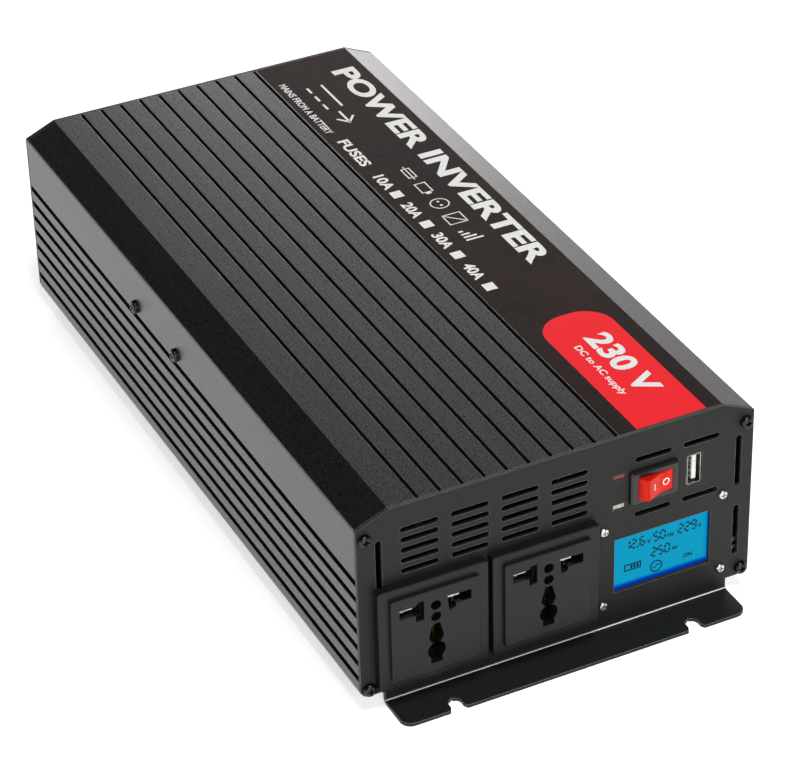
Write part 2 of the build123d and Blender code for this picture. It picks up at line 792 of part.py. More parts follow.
def lamp(height):
    """A flat-topped rectangular lamp, just behind its slot, on two leads."""
    z = up(height)
    y0 = front_y + led_set_back
    wide, tall = led_width / 2, led_height / 2
    lens = block(led_x - wide, led_x + wide, y0, y0 + led_length, z - tall, z + tall)
    return fillet(lens.faces().sort_by(Axis.Y)[0].edges(), 0.25)


def lamp_leads():
    """Two wires from each lamp to the control board."""
    y0 = front_y + led_set_back + led_length
    xs = (led_x - led_lead_pitch / 2, led_x + led_lead_pitch / 2)
    return group(rod_y(x, up(height), 0.25, y0, control_board_y) for height in led_ups for x in xs)


lcd_front_y = inner_front_y + lcd_set_back
lcd_board_y = lcd_front_y + lcd_thickness + lcd_backlight_thickness


def lcd_glass():
    """The liquid-crystal cell behind its window."""
    wide, tall = lcd_window_width / 2 + lcd_overlap, lcd_window_height / 2 + lcd_overlap
    z = up(lcd_up)
    return block(lcd_x - wide, lcd_x + wide, lcd_front_y, lcd_front_y + lcd_thickness, z - tall, z + tall)


def lcd_frame():
    """The plastic frame round the display, between the panel and the display's board."""
    wide, tall = lcd_window_width / 2 + lcd_overlap + gap, lcd_window_height / 2 + lcd_overlap + gap
    z = up(lcd_up)
    hole = block(lcd_x - wide, lcd_x + wide, inner_front_y - 1, lcd_board_y + 1, z - tall, z + tall)
    wide, tall = wide + lcd_frame_rim, tall + lcd_frame_rim
    y0 = inner_front_y + gap / 2
    return block(lcd_x - wide, lcd_x + wide, y0, lcd_board_y, z - tall, z + tall) - hole


def lcd_backlight():
    """The lit diffuser between the display and its board."""
    wide, tall = lcd_window_width / 2 + lcd_overlap - gap, lcd_window_height / 2 + lcd_overlap - gap
    z = up(lcd_up)
    y0 = lcd_front_y + lcd_thickness
    return block(lcd_x - wide, lcd_x + wide, y0, lcd_board_y, z - tall, z + tall)


def lcd_board():
    """The display's circuit board, held by a screw in each corner."""
    xs, zs = zip(*lcd_screw_places())
    x0, x1 = min(xs) - lcd_board_margin, max(xs) + lcd_board_margin
    z0, z1 = min(zs) - lcd_board_margin + 0.8, max(zs) + lcd_board_margin
    y1 = lcd_board_y + board_thickness
    board = block(x0, x1, lcd_board_y, y1, z0, z1)
    for x, z in lcd_screw_places():
        board -= rod_y(x, z, lcd_screw_radius + gap, lcd_board_y - 1, y1 + 1)
    return board


def lcd_spacers():
    """Four tubes that hold the display's board off the panel."""
    tubes = []
    for x, z in lcd_screw_places():
        tube = rod_y(x, z, 2 * lcd_screw_radius + gap, inner_front_y, lcd_board_y)
        tubes.append(tube - rod_y(x, z, lcd_screw_radius + gap, inner_front_y - 1, lcd_board_y + 1))
    return group(tubes)


def lcd_screws():
    """Four bright screws from the panel's face through the spacers, the board and their nuts."""
    length = lcd_board_y + board_thickness + 2.4 - front_y
    screw = pan_screw(1.9, 1.3, lcd_screw_radius, length, recess=0.6)
    return group(Pos(x, front_y, z) * facing_front(screw) for x, z in lcd_screw_places())


def hex_nut(across_flats, height, hole_radius):
    """A hexagon nut that stands on z = 0."""
    body = extrude(RegularPolygon(across_flats / math.sqrt(3), 6), amount=height)
    return body - Pos(0, 0, height / 2) * Cylinder(hole_radius, 2 * height)


def lcd_nuts():
    """A nut behind the display's board on each of its screws."""
    y = lcd_board_y + board_thickness
    nut = hex_nut(4.0, 1.6, lcd_screw_radius + 0.02)
    return group(Pos(x, y, z) * facing_rear(nut) for x, z in lcd_screw_places())


# ---- rear panel ---------------------------------------------------------------------------------
def fan_hole_places():
    """(x, z) of the eight fan screws."""
    reach = fan_screw_spacing / 2
    xs = [x + side * reach for x in fan_xs for side in (-1, 1)]
    return [(x, up(fan_up) + side * reach) for x in xs for side in (-1, 1)]


def rear_panel():
    """The rear end panel, with two fan openings and holes for the terminals and the earth screw."""
    panel = end_panel(rear_y, 1)
    cuts = Sketch()
    for x in fan_xs:
        cuts += at(x, up(fan_up), Circle(fan_duct_radius - 0.3))
    for x, z in fan_hole_places():
        cuts += at(x, z, Circle(fan_screw_radius + 0.3))
    for x in terminal_xs:
        cuts += at(x, up(terminal_up), Circle(insulator_sleeve_radius + gap))
    cuts += at(earth_x, up(earth_up), Circle(earth_base_radius + 0.1))
    return panel - along_y(cuts, inner_rear_y - 1, rear_y + 1)


def fan_frame(x):
    """A square fan frame with a round duct, four struts and a bearing tube."""
    z = up(fan_up)
    y1 = inner_rear_y
    y0 = y1 - fan_depth
    side = fan_size / 2
    frame = block(x - side, x + side, y0, y1, z - side, z + side)
    frame = fillet(frame.edges().filter_by(Axis.Y), 3.5)
    frame -= rod_y(x, z, fan_duct_radius, y0 - 1, y1 + 1)
    ring = block(x - side - 1, x + side + 1, y0 + fan_flange, y1 - fan_flange, z - side - 1, z + side + 1)
    ring -= rod_y(x, z, fan_duct_radius + 1.3, y0 - 1, y1 + 1)
    frame -= ring
    strut = 3.0
    reach = fan_duct_radius - 2.0
    for turn in (45, 135, 225, 315):
        place = Pos(x, y0 + strut / 2, z) * Rot(0, -turn, 0) * Pos(reach / 2 + strut, 0, 0)
        frame += place * Box(reach, strut, strut)
    frame += rod_y(x, z, fan_hub_radius - 1.0, y0, y0 + 2.5)
    tube_end = y0 + fan_depth - 11.0
    frame += rod_y(x, z, fan_shaft_radius + 2.5, y0, tube_end)
    frame -= rod_y(x, z, fan_shaft_radius + pivot_clearance, y0 + 1.5, tube_end + 1)
    for hx, hz in fan_hole_places():
        frame -= rod_y(hx, hz, fan_screw_radius + gap, y0 - 1, y1 + 1)
    return frame


def fan_rotor(x):
    """A cup-shaped hub with curved blades and a steel-thin shaft, turning about Y."""
    z = up(fan_up)
    y1 = inner_rear_y - 1.5
    y0 = inner_rear_y - fan_depth + 4.0
    cup_wall = 1.5
    hub = rod_y(x, z, fan_hub_radius, y0, y1) - rod_y(x, z, fan_hub_radius - cup_wall, y0 - 1, y1 - 2.0)
    hub = fillet(hub.edges().group_by(Axis.Y)[-1], 1.0)
    hub += rod_y(x, z, fan_shaft_radius, inner_rear_y - fan_depth + 2.0, y1 - 1.0)
    tip = fan_duct_radius - fan_tip_gap
    band = rod_y(x, z, tip, y0 - 5, y1 + 5) - rod_y(x, z, fan_hub_radius - 0.6, y0 - 6, y1 + 6)
    bow = 16.0
    blade_thickness = 1.2
    arc = Circle(bow) - Circle(bow - blade_thickness)
    section = at(0, blade_thickness - bow, arc & at(0, bow, Rectangle(15.5, 9.0)))
    blade = Rot(0, 90, 0) * Rot(0, 0, 55) * extrude(section, amount=tip + 4)
    middle = (y0 + y1) / 2
    for i in range(fan_blades):
        turned = Pos(x, middle, z) * Rot(0, i * 360 / fan_blades, 0) * blade
        hub += turned & band
    return hub


def fan_guard(x):
    """A wire finger guard: rings welded to two crossed wires that end in eyes at the screws."""
    z = up(fan_up)
    radius = guard_wire / 2
    spoke_y = rear_y + radius
    ring_y = spoke_y + guard_wire * 0.8
    guard = Part()
    for ring_radius in guard_ring_radii:
        guard += Pos(x, ring_y, z) * Rot(90, 0, 0) * Torus(ring_radius, radius)
    start = min(guard_ring_radii) - radius
    length = screw_circle - guard_eye_radius + gap - start
    for turn in (45, 135, 225, 315):
        out = Pos(x, spoke_y, z) * Rot(0, -turn, 0)
        guard += out * Pos(start + length / 2, 0, 0) * Rot(0, 90, 0) * Cylinder(radius, length)
        guard += out * Pos(screw_circle, 0, 0) * Rot(90, 0, 0) * Torus(guard_eye_radius, radius)
    return guard


def fan_screws():
    """Eight screws through the wire guards and the panel into the fans' corners."""
    screw = pan_screw(3.9, 2.3, fan_screw_radius, 14.0)
    y = rear_y + guard_wire
    return group(Pos(x, y, z) * facing_rear(screw) for x, z in fan_hole_places())


# ---- battery terminals --------------------------------------------------------------------------
knob_y = rear_y + insulator_collar + terminal_washer + lug_gap
bus_bar_y = inner_rear_y - insulator_sleeve_end - terminal_washer - terminal_nut


def terminal_stud(x):
    """A brass bolt through the rear panel, its head inside, behind the copper strip."""
    z = up(terminal_up)
    end = rear_y + terminal_reach
    head_y = bus_bar_y - bus_bar_thickness - stud_head
    stud = rod_y(x, z, stud_radius, head_y, end)
    stud = chamfer(stud.edges().group_by(Axis.Y)[-1], 0.6)
    head = Pos(x, head_y, z) * facing_rear(extrude(RegularPolygon(stud_radius + 3.5, 6), amount=stud_head))
    return stud + head


def terminal_insulator(x):
    """A moulded bush that keeps the stud off the panel: a collar outside, a sleeve through the hole."""
    z = up(terminal_up)
    collar = rod_y(x, z, insulator_radius, rear_y, rear_y + insulator_collar)
    collar = fillet(collar.edges().group_by(Axis.Y)[-1], 1.0)
    y0 = inner_rear_y - insulator_sleeve_end
    sleeve = rod_y(x, z, insulator_sleeve_radius, y0, rear_y + 1)
    return collar + sleeve - rod_y(x, z, stud_radius + gap, y0 - 1, rear_y + insulator_collar + 1)


def terminal_nuts_and_washers():
    """For each stud, a brass washer outside, and a washer and a nut inside."""
    z = up(terminal_up)
    pieces = []
    outer_y = rear_y + insulator_collar
    inner_y = inner_rear_y - insulator_sleeve_end
    nut = hex_nut(3.25 * stud_radius, terminal_nut, stud_radius + 0.02)
    for x in terminal_xs:
        for radius, y in ((2 * stud_radius, outer_y), (washer_radius, inner_y - terminal_washer)):
            washer = rod_y(x, z, radius, y, y + terminal_washer)
            pieces.append(washer - rod_y(x, z, stud_radius + gap, y - 1, y + terminal_washer + 1))
        pieces.append(Pos(x, inner_y - terminal_washer, z) * facing_front(nut))
    return group(pieces)


def terminal_knob(x):
    """A fluted screw-down knob on the stud."""
    knob = Pos(0, 0, knob_length / 2) * Cylinder(knob_radius, knob_length)
    knob = fillet(knob.edges().group_by(Axis.Z)[-1], 1.2)
    for i in range(knob_flutes):
        place = Rot(0, 0, i * 360 / knob_flutes) * Pos(knob_radius + 0.35, 0, knob_length / 2 + knob_skirt)
        knob -= place * Cylinder(knob_flute_radius, knob_length)
    knob -= Pos(0, 0, knob_length / 2) * Cylinder(stud_radius + pivot_clearance, knob_length + 2)
    return Pos(x, knob_y, up(terminal_up)) * facing_rear(knob)


def earth_screw():
    """The chassis earth stud: a head inside, a thick part through the panel and nut, a thinner free end."""
    z = up(earth_up)
    shoulder_y = rear_y + earth_washer + earth_nut + 2 * gap
    free_end = rod_y(earth_x, z, earth_radius, inner_rear_y, shoulder_y + earth_free_end)
    free_end = chamfer(free_end.edges().group_by(Axis.Y)[-1], 0.4)
    base = rod_y(earth_x, z, earth_base_radius, inner_rear_y - earth_head, shoulder_y)
    head = rod_y(earth_x, z, earth_base_radius + 1.4, inner_rear_y - earth_head, inner_rear_y)
    return free_end + base + head


def earth_nuts():
    """The washer and nut that hold the earth stud to the panel."""
    y = rear_y
    z = up(earth_up)
    bore = rod_y(earth_x, z, earth_base_radius + 0.1, y - 1, y + earth_washer + 1)
    washer = rod_y(earth_x, z, 2 * earth_base_radius, y, y + earth_washer) - bore
    nut = hex_nut(8.0, earth_nut, earth_base_radius + 0.02)
    return group([washer, Pos(earth_x, y + earth_washer, z) * facing_rear(nut)])


# ---- inside: board and heat spreaders -----------------------------------------------------------
board_y0 = back(board_front_back)
board_y1 = rear_y - board_rear_clear


def main_board():
    edge = inner_half - board_edge_gap
    return block(-edge, edge, board_y0, board_y1, board_z, board_top)


def insulation_sheet():
    """A film on the case's floor, under the main board."""
    edge = inner_half - insulation_inset
    return block(-edge, edge, board_y0, board_y1, floor_top, floor_top + insulation_thickness)


spreader_y0 = before(side_screw_befores[0]) - spreader_end
spreader_y1 = before(side_screw_befores[1]) + spreader_end
spreader_z0 = board_top + spreader_clear
spreader_z1 = up(spreader_top_up)


def heat_spreader(side):
    """An aluminium bar against one wall, held by two screws through the side of the case."""
    inner_x = side * (inner_half - spreader_thickness)
    bar = block(side * inner_half, inner_x, spreader_y0, spreader_y1, spreader_z0, spreader_z1)
    for distance in side_screw_befores:
        y = before(distance)
        bar -= rod_x(y, up(side_screw_up), boss_hole_radius, side * (half + 1), inner_x - side)
    return bar


def side_screws():
    """Two screws on each side of the case."""
    screw = pan_screw(2.9, 2.0, 1.2, wall + spreader_thickness)
    solids = []
    for distance in side_screw_befores:
        for side in (-1, 1):
            turned = Rot(0, side * 90, 0) * screw
            solids.append(Pos(side * half, before(distance), up(side_screw_up)) * turned)
    return group(solids)


mosfet_z0 = board_top + mosfet_clear


def mosfet_places():
    """Y of each power transistor, in a row centred on the heat spreader."""
    middle = (spreader_y0 + spreader_y1) / 2
    first = middle - (mosfet_count - 1) * mosfet_pitch / 2
    return [first + i * mosfet_pitch for i in range(mosfet_count)]


def transistors(side):
    """A row of power transistors clamped flat to the heat spreader."""
    face = side * (inner_half - spreader_thickness)
    body_top = mosfet_z0 + mosfet_body_height
    tab_top = mosfet_z0 + mosfet_tab_top
    solids = []
    for y in mosfet_places():
        y0, y1 = y - mosfet_width / 2, y + mosfet_width / 2
        tab = block(face, face - side * 1.3, y0, y1, body_top - gap, tab_top)
        body = block(face, face - side * mosfet_body_depth, y0, y1, mosfet_z0, body_top)
        solids.append(tab + body - rod_x(y, (body_top + tab_top) / 2, 1.8, face + side, face - side * 3))
    return group(solids)


def transistor_leads():
    """Three legs for each transistor, down to the board."""
    legs = []
    for side in (-1, 1):
        face = side * (inner_half - spreader_thickness)
        x0, x1 = face - side * 2.6, face - side * 3.1
        for y in mosfet_places():
            for i in (-1, 0, 1):
                middle = y + i * mosfet_lead_pitch
                legs.append(block(x0, x1, middle - 0.4, middle + 0.4, board_top, mosfet_z0))
    return group(legs)


def clamp_bars():
    """A steel strip on each side that presses the transistors to the heat spreader."""
    bars = []
    first, last = mosfet_places()[0], mosfet_places()[-1]
    reach = mosfet_pitch / 2
    z0 = mosfet_z0 + (mosfet_body_height - clamp_height) / 2
    for side in (-1, 1):
        face = side * (inner_half - spreader_thickness - mosfet_body_depth)
        back_face = face - side * clamp_thickness
        bars.append(block(face, back_face, first - reach, last + reach, z0, z0 + clamp_height))
    return group(bars)


# ---- inside: rows of parts on the board ---------------------------------------------------------
winding_room = (transformer_width - transformer_leg) / 2 - transformer_outer_leg
winding_build = winding_room - winding_gap
transformer_depth = transformer_thickness + 2 * winding_build
inductor_reach = inductor_radius + inductor_section + inductor_wire_gap + 2 * inductor_wire
front_row_depth = front_row_overlap + 2 * inductor_reach
driver_depth = driver_chip_depth + board_thickness + driver_strip_overhang
row_depths = (
    front_row_depth, driver_depth, 2 * bus_can_radius, transformer_depth, transformer_depth, fuse_depth,
    2 * input_can_radius,
)


def row_starts():
    """Y of the front of each row of parts. The gaps between rows grow and shrink with the board."""
    stretch = (board_y1 - board_y0 - sum(row_depths)) / sum(row_gaps)
    starts = []
    y = board_y0
    for room, depth in zip(row_gaps, row_depths):
        y += room * stretch
        starts.append(y)
        y += depth
    return starts


front_row, driver_row, bus_can_row, *transformer_rows, fuse_row, input_can_row = row_starts()


def transformer_places():
    """(x, y) of the middle of each transformer."""
    ys = [row + transformer_depth / 2 for row in transformer_rows]
    return [(x, y) for x in transformer_columns for y in ys]


def transformer_cores():
    """Ferrite cores with two windows, standing on the board."""
    cores = []
    z0 = board_top + transformer_clear
    z1 = z0 + transformer_height
    wide, thick = transformer_width / 2, transformer_thickness / 2
    for x, y in transformer_places():
        core = block(x - wide, x + wide, y - thick, y + thick, z0, z1)
        for side in (-1, 1):
            inner = x + side * transformer_leg / 2
            outer = inner + side * winding_room
            core -= block(inner, outer, y - 20, y + 20, z0 + transformer_bar, z1 - transformer_bar)
        cores.append(core)
    return group(cores)


def transformer_windings():
    """A taped winding round each core's middle leg."""
    coils = []
    z0 = board_top + transformer_clear + transformer_bar + gap
    z1 = z0 + transformer_height - 2 * transformer_bar - 2 * gap
    wide = transformer_leg / 2 + winding_build
    deep = transformer_depth / 2
    leg, thick = transformer_leg / 2 + gap, transformer_thickness / 2 + gap
    for x, y in transformer_places():
        coil = block(x - wide, x + wide, y - deep, y + deep, z0, z1)
        coil = fillet(coil.edges().filter_by(Axis.Z), 3.0)
        coils.append(coil - block(x - leg, x + leg, y - thick, y + thick, z0 - 1, z1 + 1))
    return group(coils)


def capacitor(x, y, radius, height):
    """An electrolytic can with its crimp groove."""
    can = rod_z(x, y, radius, board_top, board_top + height)
    can = fillet(can.edges().group_by(Axis.Z)[-1], 1.0)
    low = board_top + can_crimp_up
    crimp = rod_z(x, y, radius + 1, low, low + can_crimp_height)
    crimp -= rod_z(x, y, radius - can_crimp_depth, low - 1, low + can_crimp_height + 1)
    return can - crimp


def input_capacitors():
    """A row of cans next to the battery terminals."""
    y = input_can_row + input_can_radius
    return group(capacitor(x, y, input_can_radius, input_can_height) for x in input_can_xs)


def bus_capacitors():
    """Two large high-voltage cans."""
    y = bus_can_row + bus_can_radius
    return group(capacitor(x, y, bus_can_radius, bus_can_height) for x in bus_can_xs)


def film_capacitors():
    """Two box capacitors across the mains output."""
    y0, y1 = front_row, front_row + film_depth
    wide = film_width / 2
    return group(block(x - wide, x + wide, y0, y1, board_top, board_top + film_height) for x in film_xs)


inductor_place = Pos(inductor_x, front_row + front_row_overlap + inductor_reach, board_top + inductor_up)


def inductor_core():
    """The output filter's ring core."""
    return inductor_place * Torus(inductor_radius, inductor_section)


def inductor_winding():
    """Turns of enamelled wire round the ring core."""
    turns = []
    ring = Torus(inductor_section + inductor_wire_gap + inductor_wire, inductor_wire)
    for i in range(inductor_turns):
        spoke = inductor_place * Rot(0, 0, i * 360 / inductor_turns)
        turns.append(spoke * Pos(inductor_radius, 0, 0) * Rot(90, 0, 0) * ring)
    return group(turns)


driver_board_y = driver_row + driver_chip_depth


def driver_board():
    """The control daughter-board that stands on the main board."""
    wide = driver_board_width / 2
    z0 = board_top + driver_strip_height
    return block(-wide, wide, driver_board_y, driver_board_y + board_thickness, z0, z0 + driver_board_height)


def driver_parts():
    """The pin strip under the daughter-board, and its chips."""
    y = driver_board_y
    wide = driver_strip_width / 2
    y0, y1 = y - driver_strip_overhang, y + board_thickness + driver_strip_overhang
    strip = block(-wide, wide, y0, y1, board_top, board_top + driver_strip_height)
    z0, z1 = board_top + 14.0, board_top + 22.0
    chips = [block(x - 5, x + 5, y - driver_chip_depth, y, z0, z1) for x in driver_chip_xs]
    return group([strip, *chips])


def blade_fuses():
    """A row of flat fuses beside the battery input."""
    y = fuse_row + fuse_depth / 2
    wide, deep = fuse_width / 2, fuse_depth / 2
    z0 = board_top + fuse_blade_height
    fuses = []
    for i in range(fuse_count):
        x = (i - (fuse_count - 1) / 2) * fuse_pitch
        fuse = block(x - wide, x + wide, y - deep, y + deep, z0, z0 + fuse_height)
        for dx in (-4.0, 4.0):
            fuse += block(x + dx - 2.0, x + dx + 2.0, y - 0.5, y + 0.5, board_top, z0 + 0.5)
        fuses.append(fuse)
    return group(fuses)


def bus_bars():
    """Copper strips from each stud's head down to the main board."""
    bars = []
    z = up(terminal_up)
    y0, y1 = bus_bar_y - bus_bar_thickness, bus_bar_y
    foot_top = board_top + bus_bar_thickness
    for middle in terminal_xs:
        x0, x1 = middle - bus_bar_width / 2, middle + bus_bar_width / 2
        strap = block(x0, x1, y0, y1, foot_top, z + 7.0)
        strap -= rod_y(middle, z, stud_radius + gap, y0 - 1, y1 + 1)
        strap += block(x0, x1, board_y1 - bus_bar_foot, y1, board_top, foot_top)
        bars.append(strap)
    return group(bars)


def soft_tube(points, radius, bends):
    """A wire of round section along straight runs joined by tangent arcs."""
    path = FilletPolyline(*points, radius=bends)
    start = Plane(origin=path @ 0, z_dir=path % 0)
    return sweep(start * Circle(radius), path=path)


def socket_wires():
    """Live, neutral and earth wires from the backs of the sockets down to the main board."""
    wires = []
    z = up(socket_up)
    y0 = front_y + socket_body_depth
    foot_y = board_y0 + 4.0
    for x in socket_xs:
        for dx, height in ((-live_contact_x, 4.0), (live_contact_x, 4.0), (0, 2.0)):
            top = z + height
            points = [(x + dx, y0, top), (x + dx, foot_y, top), (x + dx, foot_y, board_top)]
            wires.append(soft_tube(points, wire_radius, wire_bend))
    return group(wires)


def both(make, places):
    """One node that holds a copy of a part at each place."""
    solids = []
    for place in places:
        solids += make(place).solids()
    return group(solids)


def joined(*makers):
    """One node that holds the solids of several functions."""
    solids = []
    for make in makers:
        solids += make().solids()
    return group(solids)


PARTS = {
    "upper_shell": upper_shell,
    "lower_shell": lower_shell,
    "front_panel": front_panel,
    "rear_panel": rear_panel,
    "top_label": top_label,
    "case_screws": case_screws,
    "side_screws": side_screws,
    "socket_backs": lambda: both(socket_back, socket_xs),
    "socket_contacts": socket_contacts,
    "socket_wires": socket_wires,
    "switch_housing": switch_housing,
    "rocker_button": rocker_button,
    "switch_terminals": switch_terminals,
    "usb_shell": usb_shell,
    "usb_tongue": usb_tongue,
    "usb_contacts": usb_contacts,
    "control_board": control_board,
    "power_lamp": lambda: lamp(led_ups[0]),
    "fault_lamp": lambda: lamp(led_ups[1]),
    "lamp_leads": lamp_leads,
    "lcd_glass": lcd_glass,
    "lcd_frame": lcd_frame,
    "lcd_backlight": lcd_backlight,
    "lcd_board": lcd_board,
    "lcd_spacers": lcd_spacers,
    "lcd_screws": lcd_screws,
    "lcd_nuts": lcd_nuts,
    "fan_guards": lambda: both(fan_guard, fan_xs),
    "fan_screws": fan_screws,
    "terminal_studs": lambda: both(terminal_stud, terminal_xs),
    "terminal_nuts_and_washers": terminal_nuts_and_washers,
    "earth_screw": earth_screw,
    "earth_nuts": earth_nuts,
    "bus_bars": bus_bars,
    "main_board": main_board,
    "insulation_sheet": insulation_sheet,
    "driver_board": driver_board,
    "driver_parts": driver_parts,
    "blade_fuses": blade_fuses,
    "board_capacitors": lambda: joined(input_capacitors, bus_capacitors, film_capacitors),
    "ferrite_cores": lambda: joined(transformer_cores, inductor_core),
    "windings": lambda: joined(transformer_windings, inductor_winding),
    "heat_spreaders": lambda: both(heat_spreader, (-1, 1)),
    "transistors": lambda: both(transistors, (-1, 1)),
    "transistor_leads": transistor_leads,
    "clamp_bars": clamp_bars,
}

for name, x in zip(("left", "right"), socket_xs):
    PARTS[f"{name}_socket_face"] = lambda x=x: socket_face(x)
    PARTS[f"{name}_socket_shutter"] = lambda x=x: socket_shutter(x)
    PARTS[f"{name}_shutter_springs"] = lambda x=x: shutter_springs(x)

for name, x in zip(("left", "right"), fan_xs):
    PARTS[f"{name}_fan_frame"] = lambda x=x: fan_frame(x)
    PARTS[f"{name}_fan_rotor"] = lambda x=x: fan_rotor(x)

for name, x in zip(("positive", "negative"), terminal_xs):
    PARTS[f"{name}_insulator"] = lambda x=x: terminal_insulator(x)
    PARTS[f"{name}_knob"] = lambda x=x: terminal_knob(x)


def main():
    os.makedirs("parts", exist_ok=True)
    for name, make in PARTS.items():
        save(name, make())


main()
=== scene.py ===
"""Looks of a power inverter in a ribbed black aluminium case: materials, prints, display, light, camera.

Lengths are in metres. Places come from the CAD nodes' boxes; sizes are given in millimetres times MM.
"""

import math

import bpy
import numpy as np
from mathutils import Matrix, Vector


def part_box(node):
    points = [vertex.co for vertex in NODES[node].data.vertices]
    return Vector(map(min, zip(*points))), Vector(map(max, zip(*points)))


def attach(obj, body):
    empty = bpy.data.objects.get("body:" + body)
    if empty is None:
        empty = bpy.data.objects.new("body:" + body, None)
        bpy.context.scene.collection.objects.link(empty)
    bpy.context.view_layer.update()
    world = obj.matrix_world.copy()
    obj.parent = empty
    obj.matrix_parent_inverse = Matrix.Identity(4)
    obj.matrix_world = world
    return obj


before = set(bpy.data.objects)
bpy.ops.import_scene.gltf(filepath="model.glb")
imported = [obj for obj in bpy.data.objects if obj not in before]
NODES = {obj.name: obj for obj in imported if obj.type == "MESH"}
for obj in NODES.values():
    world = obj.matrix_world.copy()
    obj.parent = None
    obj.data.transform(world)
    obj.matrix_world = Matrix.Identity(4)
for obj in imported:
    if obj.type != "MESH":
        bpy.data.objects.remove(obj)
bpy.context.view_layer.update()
MM = 0.001

# ---- places read from the frame ------------------------------------------------------------------
label_low, label_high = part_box("top_label")
case_low, case_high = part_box("lower_shell")
panel_sheet = 1.5 * MM                  # the end panels cover the case's ends
front_y = case_low.y - panel_sheet      # outer face of the front panel
rear_y = case_high.y + panel_sheet      # outer face of the rear panel

print_thickness = 0.03 * MM
capital_share = 0.73                    # height of the built-in face's capitals, as a share of its size


# ---- meshes --------------------------------------------------------------------------------------
def mesh_piece(name, vertices, faces):
    """A flat-shaded piece from an array of vertices and lists of face corners, with its place in its mesh."""
    mesh = bpy.data.meshes.new(name)
    mesh.from_pydata(np.asarray(vertices, float).tolist(), [], [list(map(int, face)) for face in faces])
    mesh.validate()
    mesh.update()
    mesh.shade_flat()
    piece = bpy.data.objects.new(name, mesh)
    bpy.context.scene.collection.objects.link(piece)
    return piece


def plate(outline, thickness):
    """A closed thin plate: the outline at height 0 and again at the thickness, joined by a wall of quads."""
    ring = np.asarray(outline, float)
    count = len(ring)
    low = np.column_stack([ring, np.zeros(count)])
    high = np.column_stack([ring, np.full(count, thickness)])
    i = np.arange(count)
    j = (i + 1) % count
    walls = np.column_stack([i, j, j + count, i + count]).tolist()
    return np.vstack([low, high]), [list(range(count))[::-1], list(range(count, 2 * count))] + walls


def band(path, width, thickness, closed=False):
    """A closed flat band: each point of the path moved half the width to both sides along the mean normal
    of its two neighbours, at height 0 and at the thickness."""
    p = np.asarray(path, float)
    before = np.roll(p, 1, 0) if closed else np.vstack([p[:1], p[:-1]])
    after = np.roll(p, -1, 0) if closed else np.vstack([p[1:], p[-1:]])
    first = p - before
    second = after - p
    if not closed:
        first[0], second[-1] = second[0], first[-1]
    first /= np.linalg.norm(first, axis=1)[:, None]
    second /= np.linalg.norm(second, axis=1)[:, None]
    along = first + second
    along /= np.linalg.norm(along, axis=1)[:, None]
    normal = np.column_stack([-along[:, 1], along[:, 0]])
    miter = 1 / np.clip(np.abs((along * first).sum(1)), 0.4, 1)
    shift = normal * (miter * width / 2)[:, None]
    count = len(p)
    places = [(z, side) for z in (0, thickness) for side in (-1, 1)]
    rings = [np.column_stack([p + side * shift, np.full(count, z)]) for z, side in places]
    span = np.arange(count if closed else count - 1)
    i, j = span, (span + 1) % count
    a, b, c, d = 0, count, 2 * count, 3 * count
    faces = np.vstack([
        np.column_stack([i + a, i + b, j + b, j + a]),
        np.column_stack([i + c, j + c, j + d, i + d]),
        np.column_stack([i + a, j + a, j + c, i + c]),
        np.column_stack([i + b, i + d, j + d, j + b]),
    ]).tolist()
    if not closed:
        end = count - 1
        faces += [[a, c, d, b], [end + a, end + b, end + d, end + c]]
    return np.vstack(rings), faces


def joined(shapes):
    """Several (vertices, faces) pairs as one pair."""
    vertices, faces, start = [], [], 0
    for points, corners in shapes:
        vertices.append(points)
        faces += [[index + start for index in face] for face in corners]
        start += len(points)
    return np.vstack(vertices), faces


def arc(centre, radius, first, last, steps=24):
    """Points of a circle from one angle to another, in degrees."""
    t = np.radians(np.linspace(first, last, steps))
    return np.column_stack([centre[0] + radius * np.cos(t), centre[1] + radius * np.sin(t)])


def placed(shape, matrix):
    """A (vertices, faces) pair moved by a 4 x 4 matrix."""
    points, faces = shape
    m = np.array(matrix)
    return points @ m[:3, :3].T + m[:3, 3], faces


def plane_matrix(origin, along, upward):
    """Matrix that lays a flat drawing on a plane: its x along one direction, its y along another."""
    x = Vector(along).normalized()
    y = Vector(upward).normalized()
    z = x.cross(y)
    rows = [(x[i], y[i], z[i], origin[i]) for i in range(3)]
    return Matrix([*rows, (0, 0, 0, 1)])


def words(text, height, bold, width=None):
    """Printed words as (vertices, faces): capitals of the given height in the built-in face, grown outwards
    by bold. With a width, the words are stretched to it."""
    curve = bpy.data.curves.new("words", "FONT")
    curve.body = text
    curve.size = height / capital_share
    curve.offset = bold
    curve.extrude = print_thickness / 2
    curve.resolution_u = 4
    holder = bpy.data.objects.new("words", curve)
    bpy.context.scene.collection.objects.link(holder)
    bpy.context.view_layer.update()
    mesh = bpy.data.meshes.new_from_object(holder.evaluated_get(bpy.context.evaluated_depsgraph_get()))
    bpy.data.objects.remove(holder)
    points = np.zeros(len(mesh.vertices) * 3)
    mesh.vertices.foreach_get("co", points)
    points = points.reshape(-1, 3)
    points[:, 2] += print_thickness / 2
    if width:
        points[:, 0] *= width / (points[:, 0].max() - points[:, 0].min())
    return points, [list(polygon.vertices) for polygon in mesh.polygons]


# ---- materials -----------------------------------------------------------------------------------
def linear(code):
    """A colour given as sRGB hex, as linear RGBA."""
    values = [int(code[i:i + 2], 16) / 255 for i in (1, 3, 5)]
    return (*[v / 12.92 if v <= 0.04045 else ((v + 0.055) / 1.055) ** 2.4 for v in values], 1.0)


